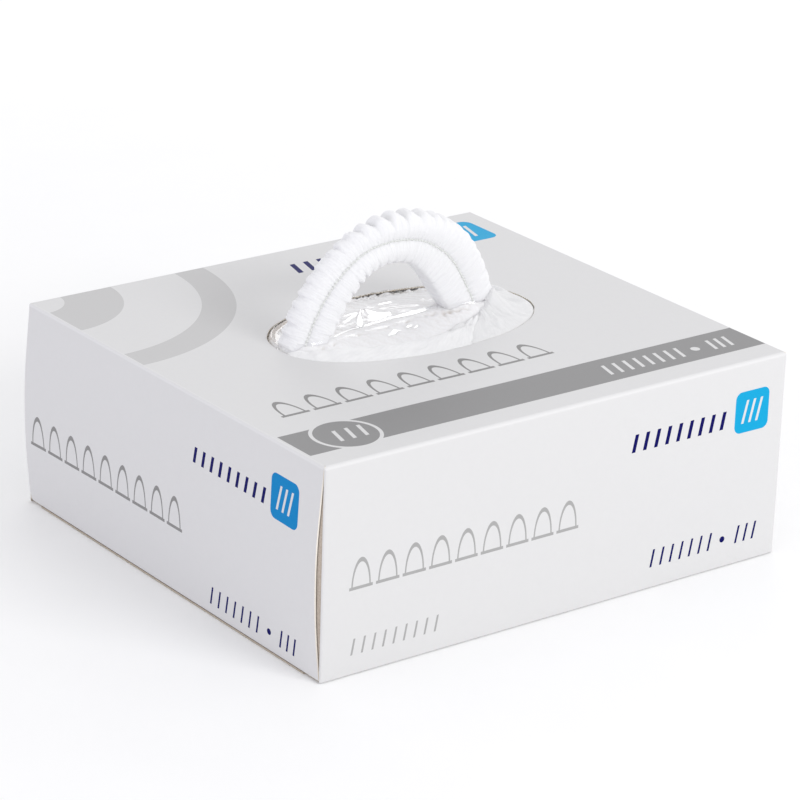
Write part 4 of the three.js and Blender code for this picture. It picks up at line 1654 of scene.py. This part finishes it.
@dataclass
class CapFan:
    """The cap's loose cloth, fanned out over the film in two leaves that overlap."""

    mouth: Mouth = field(default_factory=Mouth)
    tent: Tent = field(default_factory=Tent)
    foot: tuple[float, float] = (44, 5)
    foot_radius: float = 11.5
    lift: float = 7
    fall: float = 6.5
    # The dent is lowered and also painted with shade.
    dent: tuple[float, float] = (65, 1)
    right: Leaf = Leaf(
        "fan_right",
        ((40, 44, 13), (20, 50, 10), (0, 53, 6), (-20, 52, 3), (-45, 49, 0), (-66, 44, -4), (-84, 33, -9),
         (-97, 18, -15)),
        0.5, 0.988, 0.75, 51, 300, lands=True,
    )
    front: Leaf = Leaf(
        "fan_front",
        ((-83.5, 43, -5), (-88, 35, -9.5), (-96, 22, -16), (-108, 6, -19), (-122, -13, -17), (-138, -34, -13),
         (-152, -51, -8), (-161, -60, -4.5), (-174, -67, 1.5)),
        1.1, 1.012, 1.45, 61, 360,
    )

    def foot_lift(self, x: Array, y: Array) -> Array:
        """lift * a soft step of the cosine of the turn * exp(-(distance past the radius) / fall).

        Args:
            x: Places along X.
            y: Places along Y.

        Returns:
            How far the cloth is lifted.
        """
        away = np.hypot(x - self.foot[0], y - self.foot[1])
        side = smooth_step((x - self.foot[0]) / np.maximum(away, 1e-6), 0.05, 0.9)
        return self.lift * side * np.exp(-np.maximum(0, away - self.foot_radius) / self.fall)

    def folds(self, x: Array, y: Array, seed: int) -> tuple[Array, Array]:
        """Soft folds that run out from the foot, deep beside it and faint further out.

        The place is taken as a turn and a distance from the foot. Wide and narrow folds
        are ridge functions of the turn moved by noise of both, and threads are finer ones.

        Args:
            x: Places along X.
            y: Places along Y.
            seed: The first of the leaf's seeds.

        Returns:
            The rise in millimetres, and the fold height from 0 to 1, which is painted as shade where it is
            low.
        """
        away = np.hypot(x - self.foot[0], y - self.foot[1])
        turn = np.arctan2(y - self.foot[1], x - self.foot[0])
        turn = np.mod(turn + np.pi / 2, 2 * np.pi)
        drift = Ripple(seed).at(turn * 1.2, away / 26)
        wide = pleat(turn * 3.6 + 0.6 * drift + 0.25 * Ripple(seed + 1).at(turn * 3, away / 14), 1.1)
        narrow = pleat(turn * 9.5 + 0.9 * drift + 0.5 * Ripple(seed + 2).at(turn * 7, away / 11), 1.0)
        threads = Ripple(seed + 3, 14).at(turn * 30, away / 9)
        close = np.exp(-np.maximum(0, away - self.foot_radius) / 8)
        gain = np.clip(0.6 + 0.7 * Ripple(seed + 4).at(x / 17, y / 17), 0, 1.4)
        rise = (0.34 + 0.5 * close) * gain * wide + (0.14 + 0.2 * close) * gain * narrow + 0.06 * threads
        swell = 0.5 * Ripple(seed + 5).at(x / 16, y / 12)
        # Painted shade: the fold height darkens the folds' valleys, more beside the foot, and a soft patch at
        # the dent.
        fold = 0.84 + (0.10 + 0.20 * close) * gain * (wide - 0.5)
        fold = fold + (0.08 + 0.15 * close) * gain * (narrow - 0.5)
        near_dent = np.exp(-(((x - self.dent[0]) / 7) ** 2) - ((y - self.dent[1]) / 4) ** 2)
        shade = 0.5 * near_dent * (0.6 + 0.4 * wide)
        return rise + swell - 2 * shade, np.clip(fold + 0.16 * threads - shade, 0, 1)

    def leaf(self, form: Leaf, cloth: bpy.types.Material) -> bpy.types.Object:
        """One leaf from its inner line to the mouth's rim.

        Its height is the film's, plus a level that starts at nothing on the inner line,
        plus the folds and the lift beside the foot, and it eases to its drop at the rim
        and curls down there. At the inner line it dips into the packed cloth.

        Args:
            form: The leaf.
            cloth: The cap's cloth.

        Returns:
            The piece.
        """
        table = np.array(form.rows, float)
        along = np.linspace(0, 1, form.columns)
        knots = np.linspace(0, 1, len(table))
        rim_angle, inner_x, inner_y = (np.interp(along, knots, table[:, k]) for k in range(3))
        blur = np.ones(31) / 31
        inner_x, inner_y = (np.convolve(np.pad(v, 15, "edge"), blur, "valid") for v in (inner_x, inner_y))
        ragged = 1.6 * Ripple(form.seed + 6).at(along * 9, along * 0)
        ragged = ragged + 0.5 * Ripple(form.seed + 7).at(along * 40, along * 0)
        rim_x, rim_y = self.mouth.point(np.radians(rim_angle), form.reach)
        out = np.linspace(0, 1, form.rings)[:, None] ** 0.95
        start = 0.05 * ragged
        share = start + (1.0 - start) * out
        x = inner_x + share * (rim_x - inner_x)
        y = inner_y + share * (rim_y - inner_y)
        rise, fold = self.folds(x, y, form.seed)
        from_side = np.minimum(along, 1 - along)[None, :]
        thin = smooth_step(out, 0, 0.4) * (0.35 + 0.65 * smooth_step(from_side, 0, 0.05))
        tuck = smooth_step(out, 0.86, 1)
        curl = 0.26 * smooth_step(out, 0.965, 1)
        above = 0.12 + (form.level + rise + 0.25) * thin * (1 - tuck)
        above = above + self.foot_lift(x, y) + form.drop * tuck - curl
        landing = 1 - smooth_step(along, 0, 0.10)[None, :] if form.lands else 0
        above = above * (1 - landing) - 0.4 * landing
        z = self.tent.height(x, y) + above - 1.5 * (1 - smooth_step(out, 0, 0.2))
        faces = grid_faces(form.rings, form.columns)
        thing = make_object(form.name, np.stack([x, y, z], -1), faces, [cloth], attributes={"fold": fold})
        orient(thing, (0, 0, 1))
        return thing

    def build(
        self, cloth: bpy.types.Material, thin_cloth: bpy.types.Material
    ) -> tuple[bpy.types.Object, bpy.types.Object]:
        """The right leaf, of a single greyer layer, and the front leaf that lies on it.

        Args:
            cloth: The front leaf's cloth.
            thin_cloth: The right leaf's cloth.

        Returns:
            The pieces fan_right and fan_front.
        """
        return self.leaf(self.right, thin_cloth), self.leaf(self.front, cloth)


@dataclass
class PackedCloth:
    """The carton's packed fill, whose top lies in soft pleats under the film."""

    tent: Tent = field(default_factory=Tent)
    mouth: Mouth = field(default_factory=Mouth)
    half_x: float = 133.3
    half_y: float = 123.7
    floor: float = 2.2
    flat: float = 103.0
    under_film: float = 0.5
    cell: float = 0.6

    def hollows(self, x: Array, y: Array) -> Array:
        """The dark hollows beside the rim and along the slit.

        Each is a depth times soft steps: along the far rim between tips of cloth, and in
        a scalloped line just in front of the slit.

        Args:
            x: Places along X.
            y: Places along Y.

        Returns:
            Their depth in millimetres.
        """
        share = self.mouth.share(x, y)
        ragged = Ripple(75).at(x / 5, y / 5)
        tip = pleat(x / 5.6 + 0.25 * Ripple(76).at(x / 12, x * 0), 1.3)
        far = 0.45 * smooth_step(share, 0.94 + 0.06 * tip, 0.97 + 0.06 * tip) * smooth_step(y, 22, 30)
        far = far * smooth_step(x, 2, 12) * smooth_step(x, -42, -30) * (1 - smooth_step(share, 1.02, 1.10))
        _, front, _, _ = self.tent.slit.lip(x)
        scallop = 1.5 * pleat(x / 5.8 + 0.3 * Ripple(77).at(x / 10, x * 0), 1.2)
        between = smooth_step(x, -58, -50) * (1 - smooth_step(x, 34, 42))
        uneven = np.clip(0.6 + 0.9 * Ripple(78).at(x / 9, y / 9), 0.1, 1.5)
        line = (1.1 + 0.2 * smooth_step(x, -8, 14)) * uneven * between
        line = line * np.exp(-(((y - front + 2.4 - scallop) / 1.3) ** 2))
        legs = 1.6 * np.exp(-(((x - 24) / 7) ** 2)) * np.exp(-(((y + 2) / 5) ** 2)) * (0.6 + 0.4 * ragged)
        return far + line + np.maximum(0, legs)

    def painted_rim_shade(self, x: Array, y: Array) -> Array:
        """Painted shade: how brown and dark the cloth is painted where it lies in the shade of the left rim.

        Args:
            x: Places along X.
            y: Places along Y.

        Returns:
            The shade, from 0 to 1.
        """
        share = self.mouth.share(x, y) + 0.012 * Ripple(75).at(x / 5, y / 5)
        upper = smooth_step(share, 0.90, 0.95) * smooth_step(-x, 32, 42) * smooth_step(y, 14, 24)
        lower = smooth_step(share, 0.95, 1.0) * smooth_step(-x, 54, 62) * smooth_step(y, -10, -2)
        return np.maximum(0.7 * upper, 0.12 * lower)

    def top(self, x: Array, y: Array) -> tuple[Array, Array]:
        """The top's height, and how high each fold is, which sets the painted shade.

        The base is the film's height less a clearance. Soft pleats, finer ones and a slow
        swell lower it by up to a millimetre, and the hollows lower it further.

        Args:
            x: Places along X.
            y: Places along Y.

        Returns:
            Heights in millimetres and folds from 0 to 1, low where shade is painted.
        """
        share = self.mouth.share(x, y)
        under = self.tent.height(x, y) - 0.2 - self.under_film
        base = np.where(share >= 1, self.flat, np.maximum(under, self.flat))
        warp = Ripple(71).at(x / 16, y / 16)
        behind = smooth_step(y, 2, 9)
        pleats = pleat((x + 0.5 * y + 2.0 * warp) / 5.4 + 0.4 * Ripple(72).at(x / 9, y / 12), 0.9)
        small = pleat((x - 0.3 * y + 1.5 * warp) / 2.1 + 0.3 * Ripple(73).at(x / 5, y / 5), 0.9)
        depth = 0.25 + 0.35 * behind
        soft = depth * (1 - pleats) + 0.4 * depth * (1 - small)
        soft = soft + 0.4 * (0.5 + 0.5 * Ripple(74).at(x / 20, y / 20))
        hollow = self.hollows(x, y)
        inside = 1 - smooth_step(share, 1.0, 1.12)
        # Painted shade: the fold darkens the cloth towards its brown valley colour in the pleats and in the
        # hollows.
        fold = 0.97 - (0.08 + 0.10 * behind) * (1 - pleats) - (0.05 + 0.06 * behind) * (1 - small)
        # Painted shade: the rim's shade darkens the fold value here.
        fold = fold * (1 - smooth_step(hollow, 0.4, 2.8)) * (1 - self.painted_rim_shade(x, y))
        return base - soft * inside - hollow - 0.3 * (1 - inside), np.clip(fold, 0, 1)

    def build(self, cloth: bpy.types.Material) -> bpy.types.Object:
        """A closed block: its top on a grid, straight sides, and a flat base.

        Args:
            cloth: The cloth's material.

        Returns:
            The piece packed_cloth.
        """
        inner_x = np.arange(-76, 82, self.cell)
        inner_y = np.arange(-42, 55, self.cell)
        xs = np.concatenate([[-self.half_x, -100], inner_x, [100, self.half_x]])
        ys = np.concatenate([[-self.half_y, -80], inner_y, [85, self.half_y]])
        grid_x, grid_y = np.meshgrid(xs, ys)
        z, fold = self.top(grid_x, grid_y)
        rows, columns = grid_x.shape
        top = np.stack([grid_x, grid_y, z], -1).reshape(-1, 3)
        index = np.arange(rows * columns).reshape(rows, columns)
        rim = np.concatenate([index[0, :-1], index[:-1, -1], index[-1, :0:-1], index[:0:-1, 0]])
        foot = top[rim] * [1, 1, 0] + [0, 0, self.floor]
        count = len(rim)
        after = np.roll(np.arange(count), -1)
        low = rows * columns + np.arange(count)
        walls = np.stack([rim, low, low[after], rim[after]], 1)
        faces = grid_faces(rows, columns).tolist() + walls.tolist() + [low[::-1].tolist()]
        # The block's sides and base get a middling fold, and so some painted shade.
        folds = np.concatenate([fold.ravel(), np.full(count, 0.6)])
        points = np.concatenate([top, foot])
        thing = make_object("packed_cloth", points, faces, [cloth], attributes={"fold": folds})
        merge_doubles(thing, 0.001)
        return thing


@dataclass(frozen=True)
class Crease:
    """A pulled fold in the film: a ridge along a line, which fades at both ends."""

    x0: float
    y0: float
    x1: float
    y1: float
    height: float
    width: float

    def rise(self, x: Array, y: Array) -> Array:
        """height * max(0, 1 - distance / width) * (0.25 + 0.75 sin(pi t)^0.5) on the line's share t.

        Args:
            x: Places along X.
            y: Places along Y.

        Returns:
            The height that it adds.
        """
        run_x, run_y = self.x1 - self.x0, self.y1 - self.y0
        along = ((x - self.x0) * run_x + (y - self.y0) * run_y) / (run_x**2 + run_y**2)
        t = np.clip(along, 0, 1)
        away = np.hypot(x - self.x0 - t * run_x, y - self.y0 - t * run_y)
        return self.height * np.maximum(0, 1 - away / self.width) * (0.25 + 0.75 * np.sin(np.pi * t) ** 0.5)


@dataclass(frozen=True)
class Facet:
    """A level patch in the film, which catches the light: a convex outline, anticlockwise."""

    corners: tuple[tuple[float, float], ...]
    over: float = 0.4
    slope: float = 0.05
    soft: float = 0.5

    def mask(self, x: Array, y: Array) -> Array:
        """1 inside the outline: a soft step of the least distance inside its edges.

        Args:
            x: Places along X.
            y: Places along Y.

        Returns:
            The mask.
        """
        inside = np.full(np.shape(x), np.inf)
        for (x0, y0), (x1, y1) in zip(self.corners, self.corners[1:] + self.corners[:1]):
            run = math.hypot(x1 - x0, y1 - y0)
            inside = np.minimum(inside, ((x1 - x0) * (y - y0) - (y1 - y0) * (x - x0)) / run)
        return smooth_step(inside, -self.soft, self.soft)

    def level(self, tent: Tent, x: Array) -> Array:
        """The patch's plane: the film's height at its middle, plus over, plus slope times x."""
        middle_x, middle_y = np.mean(self.corners, axis=0)
        return tent.height(middle_x, middle_y) + self.over + self.slope * (x - middle_x)


@dataclass
class WindowFilm:
    """The clear film under the lid, slit from foot to foot of the arch and pulled up by it.

    lip_flat gives the width of the slit's flat front lip at the places lip_x. Each of the
    waves that crumple the film is a direction in radians, a pitch, a depth and a start.
    """

    arch: Arch
    tent: Tent = field(default_factory=Tent)
    flange: float = 1.10
    bead: float = 1.3
    bead_width: float = 0.8
    behind_lip: float = 4
    columns: int = 540
    rings: int = 96
    lip_x: tuple[float, ...] = (-60, -30, -8, -2, 5, 18, 24, 40, 50)
    lip_flat: tuple[float, ...] = (0.6, 0.5, 0.5, 0.8, 2.0, 2.2, 0.9, 1.2, 1.0)
    waves: tuple[tuple[float, float, float, float], ...] = (
        (0.3, 17, 0.16, 0.1), (1.2, 13, 0.12, 0.6), (2.1, 10, 0.09, 0.35), (2.8, 7.5, 0.06, 0.8),
    )
    creases: tuple[Crease, ...] = (
        Crease(-23, 17.5, -9, 27.5, 0.45, 1.6),
        Crease(3, 24, 19, 14, 0.45, 1.8),
        Crease(-8, 5.5, 5, 5.2, 0.5, 1.4),
        Crease(-15, 7, -8, 5.4, 0.5, 1.2),
        Crease(-62, 16, -46, 22, 0.5, 1.6),
        Crease(22, 10, 30, 26, 0.3, 1.8),
    )
    facets: tuple[Facet, ...] = (
        Facet(((-24.8, 1.8), (-18.0, 9.5), (-11.5, 19.5), (-5.4, 28.3), (-14.5, 19.0), (-21.0, 9.5)), 0.7),
        Facet(((-6.0, 26.0), (-12.5, 9.0), (-7.5, 9.2), (-2.5, 15.0)), 0.8),
        Facet(((-11.5, 8.6), (-1.0, 9.7), (1.5, 13.5), (-8.0, 17.5)), 0.7),
        Facet(((6.8, 29.0), (13.0, 28.0), (13.6, 29.8), (7.4, 31.0)), 0.5),
        Facet(((-17.0, -10.5), (-14.0, -12.2), (-9.0, -8.2), (-11.2, -6.0)), 0.6),
        Facet(((-5.0, -7.5), (-3.6, -10.2), (0.6, -6.2), (-2.5, -5.2)), 0.5),
        Facet(((-1.8, -9.8), (0.2, -10.6), (3.0, -8.0), (1.8, -7.2)), 0.4),
        Facet(((-46.5, 20.4), (-44.0, 19.6), (-43.0, 21.6), (-45.0, 22.4)), 0.4),
        Facet(((-41.6, 16.6), (-32.0, 19.8), (-32.4, 21.6), (-40.6, 19.0)), 0.5),
        Facet(((-18.4, 25.6), (-15.0, 24.4), (-11.6, 25.4), (-13.5, 26.8)), 0.3, soft=0.4),
    )

    def crumple(self, x: Array, y: Array) -> Array:
        """Flat facets: the sum of triangle waves in turned directions.

        Args:
            x: Places along X.
            y: Places along Y.

        Returns:
            The height that they add.
        """
        total = 0 * x
        for turn, pitch, depth, start in self.waves:
            sway = 0.35 * Ripple(int(pitch)).at(x / 30, y / 30)
            phase = (x * math.cos(turn) + y * math.sin(turn)) / pitch + start + sway
            total = total + depth * (2 * np.abs(np.mod(phase, 1) - 0.5))
        return total

    def build(self, film: bpy.types.Material) -> bpy.types.Object:
        """Rings from the slit to the flange, with creases, crumples and level facets.

        Args:
            film: The film's material.

        Returns:
            The piece film_window.
        """
        angle = np.linspace(0, 2 * np.pi, self.columns, endpoint=False)[None, :]
        share = np.linspace(0, 1, self.rings)[:, None] ** 1.15 * self.flange
        x, y = self.tent.plan(angle, share)
        flat = np.interp(x, self.lip_x, self.lip_flat)
        before = y < self.behind_lip
        z = self.tent.height(x, y, flat * before)
        inside = 1 - smooth_step(self.tent.mouth.share(x, y), 0.86, 0.99)
        lines = sum(crease.rise(x, y) for crease in self.creases)
        clear = 1 - 0.95 * smooth_step(-y, 4, 9) * (x < 60)
        z = z + (lines + self.crumple(x, y)) * inside * clear * smooth_step(share, 0.02, 0.12)
        front = self.tent.slit.lip(x)[1]
        past = np.maximum(0, front - y - flat) * before
        curled = np.clip(1 - past / self.bead_width, 0, 1) * before
        z = z + self.bead * curled * smooth_step(x, -67, -62) * (1 - smooth_step(x, 50, 57))
        bright = 0 * x
        for facet in self.facets:
            mask = facet.mask(x, y)
            z = z + mask * (facet.level(self.tent, x) - z)
            bright = np.maximum(bright, mask)
        points = np.stack([x, y, z], -1).reshape(-1, 3)
        faces = grid_faces(self.rings, self.columns, wraps=True)
        hidden = self.arch.inside(points, 1.0)
        faces = faces[~hidden[faces].all(1)]
        crease = np.maximum(np.clip(lines / 0.6, 0, 1) * inside * 0.5, bright)
        at_lip = (front - y < flat) * before
        crease = np.maximum(crease, at_lip * smooth_step(0.16 - share, 0, 0.1))
        used = np.unique(faces)
        new = np.full(len(points), -1)
        new[used] = np.arange(len(used))
        thing = make_object("film_window", points[used], new[faces], [film],
                            attributes={"crease": np.clip(crease, 0, 1).ravel()[used]})
        orient(thing, (0, 0, 1))
        return thing


@dataclass(frozen=True)
class Softbox:
    """A rectangular soft light: its middle and its sides in metres, its power in watts."""

    name: str
    place: tuple[float, float, float]
    size: tuple[float, float]
    power: float
    colour: Colour = (1, 1, 1)

    def build(self, aim: Sequence[float]) -> None:
        """Makes the light.

        Args:
            aim: The point that it looks at, in metres.
        """
        light = bpy.data.lights.new(self.name, "AREA")
        light.shape = "RECTANGLE"
        light.size, light.size_y = self.size
        light.energy = self.power
        light.color = self.colour
        lamp = bpy.data.objects.new(self.name, light)
        lamp.visible_camera = False
        bpy.context.scene.collection.objects.link(lamp)
        lamp.location = self.place
        lamp.rotation_euler = (Vector(self.place) - Vector(aim)).to_track_quat("Z", "Y").to_euler()


@dataclass
class Studio:
    """Pale floor, soft lights and the camera at the photograph's viewing angle."""

    azimuth: float = -37.26
    elevation: float = 21.32
    roll: float = -1.91
    focal_px: float = 3610.4
    picture_px: float = 800
    distance: float = 6.495
    shift: tuple[float, float] = (0.0019, -0.0502)
    unit_mm: float = 272
    target_mm: tuple[float, float, float] = (0, 0, 52.4)
    floor_half: float = 6000
    floor_height: float = -0.2
    sky: Colour = (0.985, 0.985, 1.0)
    sky_strength: float = 0.86
    light_aim: tuple[float, float, float] = (0, 0, 0.08)
    lights: tuple[Softbox, ...] = (
        Softbox("front_softbox", (0.5, -1.9, 1.1), (1.0, 0.7), 16),
        Softbox("left_softbox", (-2.1, 0.1, 0.2), (1.2, 0.4), 4.6, colour=(0.80, 0.78, 1.0)),
        Softbox("back_softbox", (1.0, 1.41, 0.79), (1.2, 0.4), 3.5),
    )

    def camera(self) -> None:
        """Places the camera: its rows are right, up and back, turned by the roll."""
        az, el, roll = (math.radians(v) for v in (self.azimuth, self.elevation, self.roll))
        back = np.array([math.sin(az) * math.cos(el), -math.cos(az) * math.cos(el), math.sin(el)])
        right = np.cross([0, 0, 1], back)
        right /= np.linalg.norm(right)
        up = np.cross(back, right)
        cosine, sine = math.cos(roll), math.sin(roll)
        turn = np.array([[cosine, -sine, 0], [sine, cosine, 0], [0, 0, 1]])
        rows = turn @ np.stack([right, up, back])
        offset = np.array([*self.shift, -self.distance])
        place = (np.array(self.target_mm) - self.unit_mm * rows.T @ offset) * MM
        lens = bpy.data.cameras.new("camera")
        lens.sensor_width = 36
        lens.lens = 36 * self.focal_px / self.picture_px
        lens.clip_end = 50
        eye = bpy.data.objects.new("camera", lens)
        bpy.context.scene.collection.objects.link(eye)
        matrix = Matrix(rows.T.tolist()).to_4x4()
        matrix.translation = Vector(place)
        eye.matrix_world = matrix
        bpy.context.scene.camera = eye

    def floor(self) -> bpy.types.Object:
        """A plain pale floor, wide enough to fill the view.

        Returns:
            The piece studio_floor.
        """
        graph = Graph("studio_floor")
        grain = graph.noise(graph.position(), 0.02, 2, 0.5)
        colour = graph.blend(grain, (0.96, 0.96, 0.962), (0.98, 0.98, 0.98))
        material = graph.surface(colour, 0.9, Specular_IOR_Level=0.1)
        half = self.floor_half
        corners = ((-half, -half), (half, -half), (half, half), (-half, half))
        points = np.array([(x, y, self.floor_height) for x, y in corners])
        return make_object("studio_floor", points, [[0, 1, 2, 3]], [material])

    def build(self) -> None:
        """Makes the floor, the lights and the camera."""
        self.floor()
        world = bpy.data.worlds.new("studio")
        world.use_nodes = True
        sky = world.node_tree.nodes["Background"]
        sky.inputs["Color"].default_value = (*self.sky, 1)
        sky.inputs["Strength"].default_value = self.sky_strength
        bpy.context.scene.world = world
        for light in self.lights:
            light.build(self.light_aim)
        bpy.context.scene.view_settings.view_transform = "Standard"
        self.camera()


def settle(thing: bpy.types.Object, slot: str, *nodes: str) -> None:
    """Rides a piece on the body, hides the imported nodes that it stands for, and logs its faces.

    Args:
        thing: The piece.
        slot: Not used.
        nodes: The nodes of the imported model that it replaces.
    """
    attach(thing, BODY)
    if nodes:
        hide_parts(*nodes)
    LOG.info("%s: %d faces", thing.name, len(thing.data.polygons))


def main() -> None:
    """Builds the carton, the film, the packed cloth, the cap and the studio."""
    logging.basicConfig(level=logging.INFO, format="%(message)s")
    board, back, raw = PrintedBoard(), BoardBack().material(), RawEdge().material()
    # Each cloth's valley colour is painted shade, which its fold attribute blends in; the packed cloth's is a
    # brown shade for its hollows.
    cloth, thin_cloth, loose_cloth, bed_cloth = (
        finish.material() for finish in (
            SoftNonwoven("cap_cloth_white"),
            SoftNonwoven("cap_cloth_single", ridge=(0.775, 0.775, 0.78), valley=(0.60, 0.60, 0.61)),
            SoftNonwoven("cap_cloth_loose", ridge=(0.845, 0.845, 0.85), valley=(0.66, 0.66, 0.67)),
            SoftNonwoven("packed_cloth_white", ridge=(0.93, 0.93, 0.935), valley=(0.50, 0.43, 0.36)),
        )
    )

    settle(CartonSleeve().build(board, back, raw), "board_sleeve", "carton_sleeve")
    for side, side_name in ((-1, "left"), (1, "right")):
        closure = EndClosure(side)
        settle(closure.build(board, back, raw), "board_closure", f"closure_{side_name}")
        for end, end_name in ((-1, "front"), (1, "back")):
            flap = DustFlap(closure, end).build(f"flap_board_{end_name}_{side_name}", back, raw)
            settle(flap, "board_flap", f"dust_flap_{end_name}_{side_name}")

    arch = Arch()
    packed = PackedCloth().build(bed_cloth)
    settle(packed, "packed_cloth", "packed_fill")
    film = WindowFilm(arch).build(ClearFilm().material())
    settle(film, "clear_film", "window_film")

    strip = CapStrip(arch).build(cloth)
    settle(strip, "cap_nonwoven", "cap_cloth")
    settle(SeamThread(arch).build(ElasticYarn().material()), "elastic_thread", "cap_elastic")
    fan_right, fan_front = CapFan().build(loose_cloth, thin_cloth)
    for leaf in (fan_right, fan_front):
        settle(leaf, "cap_nonwoven")

    Studio().build()


if __name__ == "__main__":
    main()
